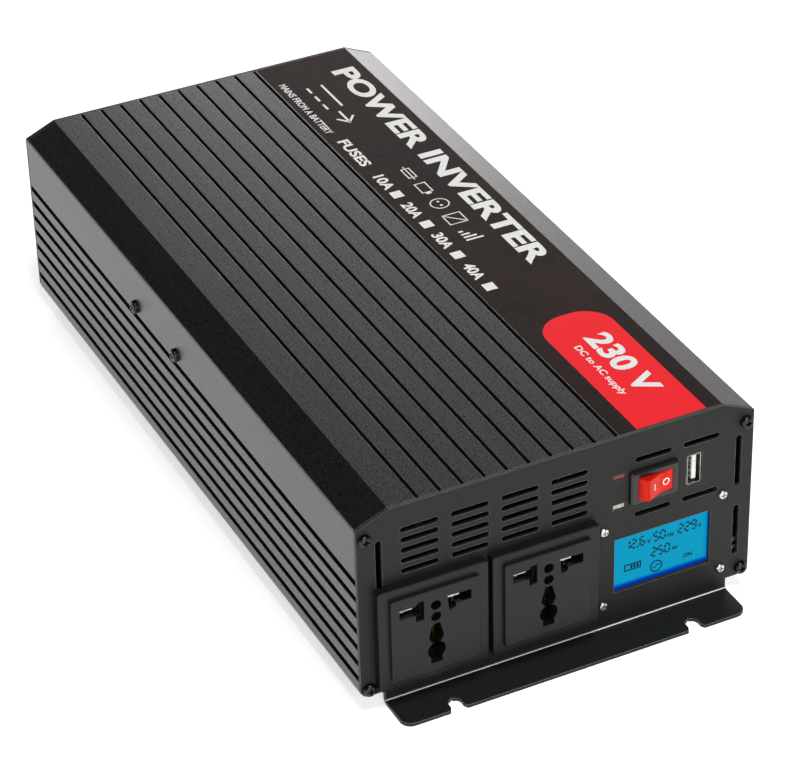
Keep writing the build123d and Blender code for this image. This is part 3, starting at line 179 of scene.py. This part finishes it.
def add(tree, kind, inputs=None, **settings):
    """Adds one shader node with its settings; inputs maps a socket to a value or to another node's output."""
    made = tree.nodes.new("ShaderNode" + kind)
    for key, value in settings.items():
        setattr(made, key, value)
    for key, value in (inputs or {}).items():
        if isinstance(value, bpy.types.NodeSocket):
            tree.links.new(value, made.inputs[key])
        else:
            made.inputs[key].default_value = value
    return made


def material(name, **sockets):
    """A material with a Principled shader whose sockets have the given constant values."""
    made = bpy.data.materials.new(name)
    made.use_nodes = True
    shader = made.node_tree.nodes["Principled BSDF"]
    for key, value in sockets.items():
        shader.inputs[key.replace("_", " ")].default_value = value
    return made, made.node_tree, shader


def grain(tree, size, detail=3.0, stretch=(1, 1, 1)):
    """A noise pattern with features of a real size, as its output from 0 to 1."""
    place = add(tree, "TexCoord").outputs["Object"]
    turned = add(tree, "Mapping", {"Vector": place, "Scale": stretch})
    noise = add(tree, "TexNoise", {"Vector": turned.outputs[0], "Scale": 1 / size, "Detail": detail})
    return noise.outputs["Fac"]


def two_tone(tree, pattern, first, second, low=0.3, high=0.7, amount=1.0):
    """Two colours, hex or sockets, laid out by a pattern: the first where it is under low, the second, as far
    as the amount, where it is over high."""
    share = add(tree, "MapRange", {0: pattern, 1: low, 2: high, 4: amount}).outputs[0]
    first, second = (linear(tone) if isinstance(tone, str) else tone for tone in (first, second))
    return add(tree, "Mix", {0: share, 6: first, 7: second}, data_type="RGBA").outputs[2]


def edge_wear_and_highlight(tree, tone, radius, wear_and_highlight_tone):
    """A tone that gives way to a pale colour on convex edges, where the rounded normal leans from the true
    one: partly edge wear, partly a painted highlight."""
    rounded = add(tree, "Bevel", {"Radius": radius}, samples=4).outputs[0]
    true = add(tree, "NewGeometry").outputs["Normal"]
    lean = add(tree, "VectorMath", {0: rounded, 1: true}, operation="DOT_PRODUCT").outputs["Value"]
    return two_tone(tree, lean, wear_and_highlight_tone, tone, 0.8, 0.98)


def surface(tree, shader, tone, pattern, rough, depth, edge=0.0, low=0.3, high=0.7):
    """Gives a shader its colour, a roughness that follows a pattern between two values, and bump from the
    same pattern, depth deep, over edges rounded to a radius."""
    tree.links.new(tone, shader.inputs["Base Color"])
    gloss = add(tree, "MapRange", {0: pattern, 1: low, 2: high, 3: rough[0], 4: rough[1]})
    tree.links.new(gloss.outputs[0], shader.inputs["Roughness"])
    bump = {"Height": pattern, "Distance": depth}
    if edge:
        bump["Normal"] = add(tree, "Bevel", {"Radius": edge}, samples=4).outputs[0]
    tree.links.new(add(tree, "Bump", bump).outputs[0], shader.inputs["Normal"])


def assign(made, *names):
    """Gives a material to CAD nodes or pieces."""
    for name in names:
        piece = NODES.get(name) or bpy.data.objects[name]
        piece.data.materials.clear()
        piece.data.materials.append(made)


def sand_anodised_aluminium():
    """Extruded aluminium, sand-blasted and anodised black: a dull metallic sheen with a fine bright speckle,
    faint lines along the extrusion and a paler line on the ribs' edges, partly edge wear, partly a painted
    highlight."""
    made, tree, shader = material("black_anodised_sandblasted_aluminium", Metallic=0.9)
    speckle = grain(tree, 0.7 * MM, 2.0)
    tone = two_tone(tree, speckle, "#373534", "#5a5857")
    tone = two_tone(tree, grain(tree, 1.2 * MM, 2.0, (1, 0.01, 1)), tone, "#282827", amount=0.25)
    # Pale convex edges: partly edge wear, partly a painted highlight along the ribs' edges.
    tone = edge_wear_and_highlight(tree, tone, 0.25 * MM, "#8a8986")
    surface(tree, shader, tone, speckle, (0.26, 0.38), 0.009 * MM, 0.2 * MM)
    return made


def charcoal_powder_coat():
    """Steel sheet with a fine-textured charcoal powder coat: matt, slightly lumpy, paler where it thins on
    edges and on the cut faces of the vents and windows (on the convex edges partly edge wear, partly a
    painted highlight), and with a painted highlight along the feet's bends, the only surfaces that face
    halfway between up and outward (there the two shares multiply to a half)."""
    feet_top = 16 * MM
    made, tree, shader = material("charcoal_powder_coated_steel", Specular_IOR_Level=0.25)
    lumps = grain(tree, 0.45 * MM)
    tone = two_tone(tree, lumps, "#121211", "#20201f")
    tone = two_tone(tree, grain(tree, 25 * MM, 2.0), tone, "#171716", amount=0.3)
    # Pale convex edges: partly edge wear, partly a painted highlight along the panels' edges.
    tone = edge_wear_and_highlight(tree, tone, 0.3 * MM, "#9b9b98")
    facing = add(tree, "SeparateXYZ", {0: add(tree, "NewGeometry").outputs["Normal"]})
    outward = add(tree, "Math", {0: facing.outputs["Y"]}, operation="ABSOLUTE").outputs[0]
    height = add(tree, "SeparateXYZ", {0: add(tree, "TexCoord").outputs["Object"]}).outputs["Z"]
    above_feet = add(tree, "Math", {0: height, 1: feet_top}, operation="GREATER_THAN").outputs[0]
    cut = add(tree, "Math", {0: above_feet, 1: outward}, operation="SUBTRACT").outputs[0]
    tone = two_tone(tree, cut, tone, "#2c2c2d", 0.6, 0.9)
    # Painted highlight: a near-white line on the feet's bends, where the concave bend would catch the light.
    bend_highlight_mask = add(tree, "Math", {0: outward, 1: facing.outputs["Z"]}, operation="MULTIPLY").outputs[0]
    tone = two_tone(tree, bend_highlight_mask, tone, "#e6e6e2", 0.465, 0.495)
    surface(tree, shader, tone, lumps, (0.42, 0.6), 0.05 * MM, 0.3 * MM)
    return made


def printed_film():
    """Dark brown-black printed polyester film: even colour under a satin face with a slight orange peel."""
    made, tree, shader = material("dark_printed_polyester_film", Specular_IOR_Level=0.04)
    tone = two_tone(tree, grain(tree, 40 * MM), "#1f1310", "#291b16")
    surface(tree, shader, tone, grain(tree, 1.5 * MM, 2.0), (0.5, 0.6), 0.01 * MM)
    return made


def printing_ink(name, dark, light, rough=0.55):
    """Screen-printed ink: one colour with the slight mottle of a mesh print."""
    made, tree, shader = material(name, Specular_IOR_Level=0.08)
    mottle = grain(tree, 0.8 * MM, 2.0)
    tone = two_tone(tree, mottle, dark, light)
    surface(tree, shader, tone, mottle, (rough - 0.05, rough + 0.05), 0.004 * MM)
    return made


def moulded_plastic(name, dark, light, rough, texture=0.35 * MM, depth=0.02 * MM, **sockets):
    """Injection-moulded plastic from a spark-eroded or polished mould: fine even texture, soft edges."""
    made, tree, shader = material(name, **sockets)
    pits = grain(tree, texture)
    tone = two_tone(tree, pits, dark, light)
    tone = two_tone(tree, grain(tree, 12 * MM, 2.0), tone, dark, amount=0.3)
    surface(tree, shader, tone, pits, (rough - 0.07, rough + 0.07), depth, 0.2 * MM)
    return made


def bare_metal(name, dark, light, rough, stretch=(1, 1, 1), size=0.4 * MM):
    """Uncoated or plated metal: fine machining or drawing marks and slight changes of tone."""
    made, tree, shader = material(name, Metallic=1.0)
    tone = two_tone(tree, grain(tree, 6 * MM), dark, light)
    marks = grain(tree, size, 4.0, stretch)
    surface(tree, shader, tone, marks, (rough - 0.08, rough + 0.1), 0.006 * MM, 0.15 * MM)
    return made


def circuit_board():
    """Glass-epoxy board under green solder mask: satin, with the copper tracks as paler parallel lines."""
    made, tree, shader = material("green_solder_mask_on_glass_epoxy", Coat_Weight=0.5)
    place = add(tree, "TexCoord").outputs["Object"]
    tracks = add(tree, "TexBrick", {"Vector": place, "Scale": 1.0, "Mortar Size": 0.35 * MM,
                                    "Brick Width": 9 * MM, "Row Height": 2.1 * MM}).outputs["Fac"]
    tone = two_tone(tree, tracks, "#0d4a26", "#1d6b39", 0.0, 1.0)
    surface(tree, shader, tone, tracks, (0.3, 0.42), 0.03 * MM, low=0.0, high=1.0)
    return made


def lit_display():
    """A backlit display: even cyan light with the faint square grid of its cells, and a painted shade of the
    window's recess that turns it deep blue near the lower and right edges."""
    made, tree, shader = material("backlit_display_glass", Roughness=0.12, Specular_IOR_Level=0.03,
                                  Emission_Strength=0.84)
    low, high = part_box("lcd_glass")
    place = add(tree, "TexCoord").outputs["Object"]
    apart = add(tree, "SeparateXYZ", {0: place})
    # Painted shade: the window's recess shades the display along its lower and right edges.
    right = add(tree, "MapRange", {0: apart.outputs["X"], 1: high.x - 2.2 * MM, 2: high.x - 1.1 * MM},
                interpolation_type="SMOOTHSTEP").outputs[0]
    lower = add(tree, "MapRange", {0: apart.outputs["Z"], 1: low.z + 4.2 * MM, 2: low.z + 1.9 * MM},
                interpolation_type="SMOOTHSTEP").outputs[0]
    recess_shade = add(tree, "Math", {0: right, 1: lower}, operation="MAXIMUM").outputs[0]
    upright = add(tree, "Mapping", {"Vector": place, "Rotation": (math.pi / 2, 0, 0)}).outputs[0]
    cells = add(tree, "TexBrick", {"Vector": upright, "Scale": 1.0, "Mortar Size": 0.05 * MM,
                                   "Brick Width": 0.55 * MM, "Row Height": 0.55 * MM}, offset=0.0)
    # The painted recess shade turns both the glow and the base colour deep blue at these edges.
    glow = two_tone(tree, recess_shade, "#00a0ca", "#0030b0", 0.0, 1.0)
    glow = two_tone(tree, cells.outputs["Fac"], glow, "#0080b0", 0.0, 1.0, amount=0.12)
    tree.links.new(glow, shader.inputs["Emission Color"])
    tree.links.new(two_tone(tree, recess_shade, "#02303e", "#010a2e", 0.0, 1.0), shader.inputs["Base Color"])
    return made


def rocker_plastic():
    """Red polycarbonate rocker: glossy, with light carried a little way into it."""
    made, tree, shader = material("red_glossy_polycarbonate", Specular_IOR_Level=0.15, Subsurface_Weight=0.15,
                                  Subsurface_Scale=1.2 * MM, Subsurface_Radius=(1.0, 0.25, 0.15))
    flow = grain(tree, 3 * MM, 2.0)
    surface(tree, shader, two_tone(tree, flow, "#c81405", "#d61e0c"), flow, (0.2, 0.3), 0.01 * MM, 0.35 * MM)
    return made


def lamp_lens(name, dark, light):
    """A tinted epoxy lamp body: milky and smooth."""
    made, tree, shader = material(name, Subsurface_Weight=0.4, Subsurface_Scale=1 * MM, IOR=1.54)
    milk = grain(tree, 1.4 * MM, 2.0)
    surface(tree, shader, two_tone(tree, milk, dark, light), milk, (0.2, 0.35), 0.01 * MM, 0.15 * MM)
    return made


def winding_tape():
    """Yellow polyester tape wound round a coil: overlapping edges every few millimetres."""
    made, tree, shader = material("yellow_polyester_tape", Coat_Weight=0.3)
    place = add(tree, "TexCoord").outputs["Object"]
    waves = {"Vector": place, "Scale": 1 / (2 * math.pi) / (1.1 * MM), "Distortion": 0.4}
    laps = add(tree, "TexWave", waves, wave_type="BANDS", bands_direction="Z",
               wave_profile="SAW").outputs["Fac"]
    tone = two_tone(tree, laps, "#b98a1c", "#e0b53a", 0.0, 1.0)
    surface(tree, shader, tone, laps, (0.25, 0.4), 0.05 * MM, low=0.0, high=1.0)
    return made


assign(sand_anodised_aluminium(), "upper_shell", "lower_shell")
assign(charcoal_powder_coat(), "front_panel", "rear_panel")
assign(printed_film(), "top_label")
assign(bare_metal("black_oxide_steel", "#2b2b2c", "#434345", 0.3),
       "case_screws", "side_screws", "fan_screws")
assign(bare_metal("bright_zinc_plated_steel", "#b9bcc0", "#dcdde0", 0.25),
       "lcd_screws", "lcd_nuts", "earth_screw", "earth_nuts", "transistor_leads", "lamp_leads", "clamp_bars")
socket_plastic = moulded_plastic("black_spark_eroded_polycarbonate", "#0c0d0e", "#18191b", 0.4,
                                 Specular_IOR_Level=0.28)
assign(socket_plastic, "left_socket_face", "right_socket_face")
assign(moulded_plastic("black_nylon", "#19191a", "#262627", 0.55), "socket_backs", "lcd_frame")
assign(moulded_plastic("light_grey_acetal", "#dcdcda", "#f2f2f0", 0.4),
       "left_socket_shutter", "right_socket_shutter")
assign(bare_metal("spring_steel", "#8a8a8c", "#b0b0b2", 0.3),
       "left_shutter_springs", "right_shutter_springs")
assign(bare_metal("spring_brass", "#c79b4b", "#e2bd6f", 0.28),
       "socket_contacts", "switch_terminals", "usb_contacts")
assign(moulded_plastic("red_wire_insulation", "#9d1010", "#c01a16", 0.4), "socket_wires")
assign(moulded_plastic("black_semi_gloss_nylon", "#121213", "#1c1c1e", 0.32, 0.5 * MM, 0.008 * MM),
       "switch_housing")
assign(rocker_plastic(), "rocker_button")
assign(bare_metal("nickel_plated_steel", "#84837f", "#a8a6a1", 0.24), "usb_shell")
assign(moulded_plastic("white_polyester_moulding", "#d9d9d5", "#f0f0ec", 0.35), "usb_tongue", "lcd_backlight")
assign(circuit_board(), "control_board", "lcd_board", "main_board", "driver_board")
assign(lamp_lens("pale_diffused_epoxy", "#8a8a84", "#c8c8c0"), "power_lamp")
assign(lamp_lens("red_diffused_epoxy", "#60080d", "#8a1018"), "fault_lamp")
assign(lit_display(), "lcd_glass")
assign(bare_metal("turned_brass", "#c59a4a", "#dfbd72", 0.2, (1, 14, 1)),
       "terminal_studs", "terminal_nuts_and_washers", "lcd_spacers")
assign(moulded_plastic("black_glass_filled_polyester", "#171718", "#232325", 0.45),
       "left_fan_frame", "right_fan_frame", "left_fan_rotor", "right_fan_rotor")
assign(bare_metal("chromed_wire", "#c8c9cc", "#e6e7ea", 0.12), "fan_guards")
assign(moulded_plastic("red_ribbed_phenolic", "#a51414", "#c62320", 0.33),
       "positive_insulator", "positive_knob")
assign(moulded_plastic("black_ribbed_phenolic", "#151516", "#222223", 0.33),
       "negative_insulator", "negative_knob")
assign(moulded_plastic("polyester_insulating_sheet", "#c9bf93", "#ddd5ad", 0.4, 3 * MM), "insulation_sheet")
assign(bare_metal("milled_aluminium", "#a4a5a7", "#c2c3c5", 0.35, (1, 0.05, 1), 0.8 * MM), "heat_spreaders")
assign(moulded_plastic("black_component_epoxy", "#171718", "#212122", 0.5, 0.25 * MM),
       "transistors", "driver_parts")
assign(moulded_plastic("fired_grey_ferrite", "#2b2b2e", "#3b3b3f", 0.55, 0.6 * MM, 0.03 * MM),
       "ferrite_cores")
assign(winding_tape(), "windings")
assign(moulded_plastic("black_shrink_sleeve", "#0f1420", "#1a2233", 0.25, 5 * MM, 0.01 * MM),
       "board_capacitors")
assign(moulded_plastic("orange_fuse_polycarbonate", "#cf5a10", "#e87a22", 0.2, 4 * MM,
                       Transmission_Weight=0.3), "blade_fuses")
assign(bare_metal("bare_copper", "#b5673f", "#d08a5e", 0.25, (1, 0.05, 1)), "bus_bars")


# ---- label print ---------------------------------------------------------------------------------
label_top = label_high.z
badge_thickness = 0.6 * print_thickness
badge_print_lift = 0.5 * print_thickness

# Where each row starts: its lower edge's place across the case, and how far it is behind the front panel.
title_start = (56.3 * MM, 316 * MM)
current_start = (43 * MM, 306 * MM)
subtitle_start = (29.4 * MM, 315 * MM)
fuses_start = (30.4 * MM, 256 * MM)
signs_start = (45.4 * MM, 216 * MM)
badge_title_start = (47.6 * MM, 67 * MM)
badge_line_start = (40.8 * MM, 63 * MM)


def on_label(shape, across, behind_front):
    """Lays a drawing on the label so that it reads from the rear to the front, with its top towards +X."""
    place = plane_matrix((across, front_y + behind_front, label_top), (0, -1, 0), (1, 0, 0))
    return placed(shape, place)


def rounded_badge():
    """Outline of the red field: straight at the front edge, round corners at its far end."""
    left, right, length, radius = 34 * MM, 64.5 * MM, 85.3 * MM, 13 * MM
    near = label_low.y
    far = front_y + length
    corner_a = arc((right - radius, far - radius), radius, 0, 90)
    corner_b = arc((left + radius, far - radius), radius, 90, 180)
    return np.vstack([[(left, near), (right, near)], corner_a, corner_b])


points, faces = plate(rounded_badge(), badge_thickness)
points[:, 2] += label_top
badge = mesh_piece("label_badge", points, faces)
assign(printing_ink("red_screen_print_ink", "#f60c1c", "#ff1626"), "label_badge")
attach(badge, "case")


def direct_current_mark():
    """The sign for direct current, a long line over three dashes, and an arrow away from it."""
    line = 1.1 * MM
    rise = 3.5 * MM
    dash = 5 * MM
    step = 8.5 * MM
    length = 2 * step + dash
    paths = [[(0, rise), (length, rise)]]
    paths += [[(i * step, -rise), (i * step + dash, -rise)] for i in range(3)]
    tail_x, tip_x = length + 4 * MM, length + 15 * MM
    paths.append([(tail_x, 0), (tip_x, 0)])
    paths.append([(tip_x - 5 * MM, 4 * MM), (tip_x, 0), (tip_x - 5 * MM, -4 * MM)])
    return joined([band(np.array(path), line, print_thickness) for path in paths])


def ring_mark(radius, width):
    """A ring: 48 points of a circle, 7.5 degrees apart, as a closed band."""
    return band(arc((0, 0), radius, 0, 352.5, 48), width, print_thickness, closed=True)


def square_mark(half, width):
    """A square's outline as a closed band, half its side from the middle."""
    corners = np.array([(-half, -half), (half, -half), (half, half), (-half, half)])
    return band(corners, width, print_thickness, closed=True)


def shifted(shape, dx, dy=0.0):
    """A drawing moved in its own plane."""
    points, faces = shape
    return points + (dx, dy, 0), faces


def sign_row():
    """Plain outline signs: a fuse (a box on a line), a battery, an outlet, a converter (a square cut by a
    slanting line) and four rising bars."""
    line = 0.55 * MM
    u = 4.0 * MM
    battery_x, outlet_x, converter_x, bars_x = (x * MM for x in (14, 29, 43, 54))
    fuse = np.array([(-u, -0.45 * u), (u, -0.45 * u), (u, 0.45 * u), (-u, 0.45 * u)])
    wire = np.array([(-1.5 * u, 0), (1.5 * u, 0)])
    shapes = [band(fuse, line, print_thickness, closed=True), band(wire, line, print_thickness)]
    battery = np.array([(-u, -0.6 * u), (u, -0.6 * u), (u, 0.6 * u), (-u, 0.6 * u)])
    shapes.append(shifted(band(battery, line, print_thickness, closed=True), battery_x))
    tip = band(np.array([(0, -0.3 * u), (0, 0.3 * u)]), 1.4 * MM, print_thickness)
    shapes.append(shifted(tip, battery_x + 1.25 * u))
    shapes.append(shifted(ring_mark(u, line), outlet_x))
    for side in (-1, 1):
        dot = plate(arc((side * 0.4 * u, 0), 0.16 * u, 0, 345, 24), print_thickness)
        shapes.append(shifted(dot, outlet_x))
    shapes.append(shifted(square_mark(u, line), converter_x))
    shapes.append(shifted(band(np.array([(-u, -u), (u, u)]), line, print_thickness), converter_x))
    for i in range(4):
        column = band(np.array([(0, -u), (0, -u + (i + 1) * 0.5 * u)]), 1.1 * MM, print_thickness)
        shapes.append(shifted(column, bars_x + i * 2.4 * MM))
    return joined(shapes)


def fuse_row():
    """Fuse ratings, each with a box to tick."""
    tall = 5.0 * MM
    bold = 0.22 * MM
    box_width = 5.4 * MM
    box = np.array([(0, 0), (box_width, 0), (box_width, tall), (0, tall)])
    shapes = [words("FUSES", tall, bold, width=25 * MM)]
    for i, amperes in enumerate((10, 20, 30, 40)):
        start = (34 + i * 28) * MM
        shapes.append(shifted(words(f"{amperes}A", tall, bold, width=13 * MM), start))
        shapes.append(shifted(plate(box, print_thickness), start + 17 * MM))
    return joined(shapes)


white_parts = [
    on_label(words("POWER INVERTER", 10.6 * MM, 0.55 * MM, width=190 * MM), *title_start),
    on_label(direct_current_mark(), *current_start),
    on_label(words("MAINS FROM A BATTERY", 3.4 * MM, 0.08 * MM, width=51 * MM), *subtitle_start),
    on_label(fuse_row(), *fuses_start),
    on_label(sign_row(), *signs_start),
]
white_print = mesh_piece("label_print", *joined(white_parts))
assign(printing_ink("white_screen_print_ink", "#ecebe8", "#fafaf8"), "label_print")
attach(white_print, "case")

badge_parts = [
    on_label(words("230 V", 10.4 * MM, 0.5 * MM, width=45 * MM), *badge_title_start),
    on_label(words("DC to AC supply", 3.0 * MM, 0.08 * MM, width=38 * MM), *badge_line_start),
]
points, faces = joined(badge_parts)
points[:, 2] += badge_print_lift
badge_print = mesh_piece("badge_print", points, faces)
assign(bpy.data.materials["white_screen_print_ink"], "badge_print")
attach(badge_print, "case")


# ---- polarity marks above the battery terminals --------------------------------------------------
mark_above = 7 * MM
mark_half = 2.6 * MM
dash = band(np.array([(-mark_half, 0), (mark_half, 0)]), 1.1 * MM, print_thickness)
marks = []
for node in ("positive_insulator", "negative_insulator"):
    collar_low, collar_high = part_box(node)
    middle = ((collar_low.x + collar_high.x) / 2, rear_y, collar_high.z + mark_above)
    marks.append(placed(dash, plane_matrix(middle, (-1, 0, 0), (0, 0, 1))))
    if node == "positive_insulator":
        marks.append(placed(dash, plane_matrix(middle, (0, 0, 1), (1, 0, 0))))
polarity_marks = mesh_piece("polarity_marks", *joined(marks))
assign(bpy.data.materials["white_screen_print_ink"], "polarity_marks")
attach(polarity_marks, "case")


# ---- rocker marks --------------------------------------------------------------------------------
rocker_radius = 8.4 * MM                # from the pivot to the ridges at the two ends of the face
rocker_ridge = math.radians(46.3)       # bearing of each ridge from the middle of the face
rocker_valley = 0.9 * MM                # the middle of the face is this much nearer to the pivot
rocker_tilt = math.radians(15.3)
pivot_behind_panel = 2 * MM
mark_lift = 0.012 * MM
bezel_low, bezel_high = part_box("switch_housing")
rocker_centre = (bezel_low + bezel_high) / 2
rocker_centre.y = front_y + pivot_behind_panel


def on_rocker(shape, side):
    """Lays a drawing on the middle of one of the rocker's two faces: side -1 is the left one."""
    ridge_x = rocker_radius * math.sin(rocker_ridge)
    ridge_y = rocker_radius * math.cos(rocker_ridge)
    slope = math.atan2(rocker_valley, ridge_x) * side
    middle = Vector((side * ridge_x / 2, -(ridge_y - rocker_valley / 2) - mark_lift, 0))
    turn = Matrix.Rotation(rocker_tilt, 4, "Z")
    along = Vector((math.cos(slope), -math.sin(slope), 0))
    place = plane_matrix(rocker_centre + turn @ middle, turn @ along, (0, 0, 1))
    return placed(shape, place)


stroke = 0.42 * MM
bar_mark = band(np.array([(0, -1.5 * MM), (0, 1.5 * MM)]), stroke, print_thickness)
round_mark = ring_mark(1.35 * MM, stroke)
rocker_marks = mesh_piece("rocker_marks", *joined([on_rocker(bar_mark, -1), on_rocker(round_mark, 1)]))
assign(bpy.data.materials["white_screen_print_ink"], "rocker_marks")
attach(rocker_marks, "rocker")


# ---- display -------------------------------------------------------------------------------------
glass_low, glass_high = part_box("lcd_glass")
window_centre = (glass_low + glass_high) / 2
window_centre.y = glass_low.y
SEGMENTS = {"0": "abcdef", "1": "bc", "2": "abdeg", "5": "acdfg", "6": "acdefg", "9": "abcdfg"}


def segment_digit(digit, height):
    """One seven-segment digit: each lit segment is a six-cornered bar with pointed ends."""
    w = height / 2
    half = height / 2
    thick = height * 0.19
    ends = {"a": ((0, height), (w, height)), "b": ((w, height), (w, half)), "c": ((w, half), (w, 0)),
            "d": ((0, 0), (w, 0)), "e": ((0, half), (0, 0)), "f": ((0, height), (0, half)),
            "g": ((0, half), (w, half))}
    shapes = []
    for key in SEGMENTS[digit]:
        a, b = (np.array(end) for end in ends[key])
        along = (b - a) / np.linalg.norm(b - a)
        side = np.array([-along[1], along[0]]) * thick / 2
        tip = along * thick / 2
        a, b = a + tip / 2, b - tip / 2
        outline = [a, a + tip - side, b - tip - side, b, b - tip + side, a + tip + side]
        shapes.append(plate(np.array(outline), print_thickness))
    return joined(shapes)


def readout(text, x, z, height):
    """A row of digits from a place, with a dot where the text has one."""
    step, dot_side, dot_back, dot_drop = (share * height for share in (0.74, 0.2, 0.16, 0.1))
    dot = np.array([(0, 0), (1, 0), (1, 1), (0, 1)]) * dot_side
    shapes = []
    for character in text:
        if character == ".":
            shapes.append(shifted(plate(dot, print_thickness), x - dot_back, z - dot_drop))
            x += dot_side
        else:
            shapes.append(shifted(segment_digit(character, height), x, z))
            x += step
    return joined(shapes)


def display_drawing():
    """Everything that the display shows, about the middle of its window: battery voltage, frequency and mains
    voltage, the load below them, and then a battery with three bars, the sign for a mains source (one period
    of a sine in a ring) and the word ON."""
    tall = 4.0 * MM
    top_row = 4.5 * MM
    load_row = -2.7 * MM
    unit_drop = 0.1 * MM
    line = 0.55 * MM
    shapes = []
    for digits, x, z, unit, unit_x in (("12.6", -15.5, top_row, "V", -5.6), ("50", -2.6, top_row, "Hz", 3.4),
                                       ("229", 8.4, top_row, "V", 17.2), ("250", -3.4, load_row, "W", 5.6)):
        shapes.append(readout(digits, x * MM, z, tall))
        shapes.append(shifted(words(unit, 1.9 * MM, 0.08 * MM), unit_x * MM, z - unit_drop))
    shapes.append(shifted(words("ON", 2.0 * MM, 0.08 * MM, width=4.0 * MM), 10.8 * MM, -8.2 * MM))
    battery = np.array([(-15.4, -5.6), (-8.4, -5.6), (-8.4, -2.9), (-15.4, -2.9)]) * MM
    shapes.append(band(battery, line, print_thickness, closed=True))
    for i in range(3):
        x = (-12.4 + i * 1.4) * MM
        shapes.append(band(np.array([(x, -5.1 * MM), (x, -3.4 * MM)]), 0.95 * MM, print_thickness))
    source_x, source_z = -1.3 * MM, -7.8 * MM
    shapes.append(shifted(ring_mark(2.5 * MM, line), source_x, source_z))
    t = np.linspace(-0.5, 0.5, 24)
    wave = np.column_stack([t * 3.0 * MM, 0.8 * MM * np.sin(2 * math.pi * t)])
    shapes.append(shifted(band(wave, 0.4 * MM, print_thickness), source_x, source_z))
    return joined(shapes)


display_place = plane_matrix(window_centre, (1, 0, 0), (0, 0, 1))
segments = mesh_piece("display_segments", *placed(display_drawing(), display_place))
assign(printing_ink("dark_liquid_crystal", "#03182c", "#062238", 0.45), "display_segments")
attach(segments, "case")


# ---- floor, light and camera ---------------------------------------------------------------------
def pale_floor():
    """A large pale floor under the feet, lit a little from within so that shadows stay faint."""
    reach = 6.0
    corners = [(-reach, -reach, 0), (reach, -reach, 0), (reach, reach, 0), (-reach, reach, 0)]
    floor = mesh_piece("floor", corners, [(0, 1, 2, 3)])
    made, tree, shader = material("pale_studio_floor", Roughness=0.7, Emission_Strength=0.65)
    tone = two_tone(tree, grain(tree, 0.4), "#f4f4f2", "#f8f8f6")
    tree.links.new(tone, shader.inputs["Base Color"])
    tree.links.new(tone, shader.inputs["Emission Color"])
    assign(made, "floor")


def softbox(name, place, size, power):
    """A rectangular studio light that faces the object."""
    light = bpy.data.lights.new(name, "AREA")
    light.shape = "RECTANGLE"
    light.size, light.size_y = size
    light.energy = power
    holder = bpy.data.objects.new(name, light)
    bpy.context.scene.collection.objects.link(holder)
    holder.location = place
    holder.rotation_euler = (Vector((0, 0, 0.05)) - Vector(place)).to_track_quat("-Z", "Y").to_euler()


def studio():
    """Walls that are pale at the horizon and fall to dark overhead, and four lights: overhead, in front, low
    at the left, and behind at the right."""
    world = bpy.data.worlds.new("studio")
    bpy.context.scene.world = world
    world.use_nodes = True
    tree = world.node_tree
    height = add(tree, "SeparateXYZ", {0: add(tree, "TexCoord").outputs["Generated"]}).outputs["Z"]
    glow = add(tree, "MapRange", {0: height, 1: 0.0, 2: 0.5, 3: 1.0, 4: 0.0}, interpolation_type="SMOOTHSTEP")
    background = tree.nodes["Background"]
    background.inputs["Color"].default_value = linear("#ffffff")
    tree.links.new(glow.outputs[0], background.inputs["Strength"])
    softbox("overhead_softbox", (0.1, -0.6, 2.4), (0.9, 0.9), 33)
    softbox("front_softbox", (-0.4, -2.4, 1.2), (1.6, 1.1), 28)
    softbox("left_softbox", (-2.0, 2.0, 0.35), (0.9, 1.4), 9)
    softbox("rear_softbox", (1.4, 2.5, 0.7), (1.2, 0.6), 25)
    bpy.context.scene.view_settings.view_transform = "Standard"


def camera():
    """The camera: its bearing, height angle and roll in degrees, the point it looks at and its distance."""
    azimuth, elevation, roll = (math.radians(v) for v in (-25.667, 33.555, -1.528))
    aim = Vector((-1.2 * MM, front_y + 133.2 * MM, 45 * MM))
    distance = 1.3178
    back = Vector((math.sin(azimuth) * math.cos(elevation), -math.cos(azimuth) * math.cos(elevation),
                   math.sin(elevation)))
    right = Vector((0, 0, 1)).cross(back).normalized()
    upward = back.cross(right)
    tilted_right = math.cos(roll) * right + math.sin(roll) * upward
    tilted_up = -math.sin(roll) * right + math.cos(roll) * upward
    lens = bpy.data.cameras.new("camera")
    lens.sensor_width = 36.0
    lens.lens = 144.3
    holder = bpy.data.objects.new("camera", lens)
    bpy.context.scene.collection.objects.link(holder)
    turn = Matrix((tilted_right, tilted_up, back)).transposed().to_4x4()
    holder.matrix_world = Matrix.Translation(aim + back * distance) @ turn
    bpy.context.scene.camera = holder


pale_floor()
studio()
camera()
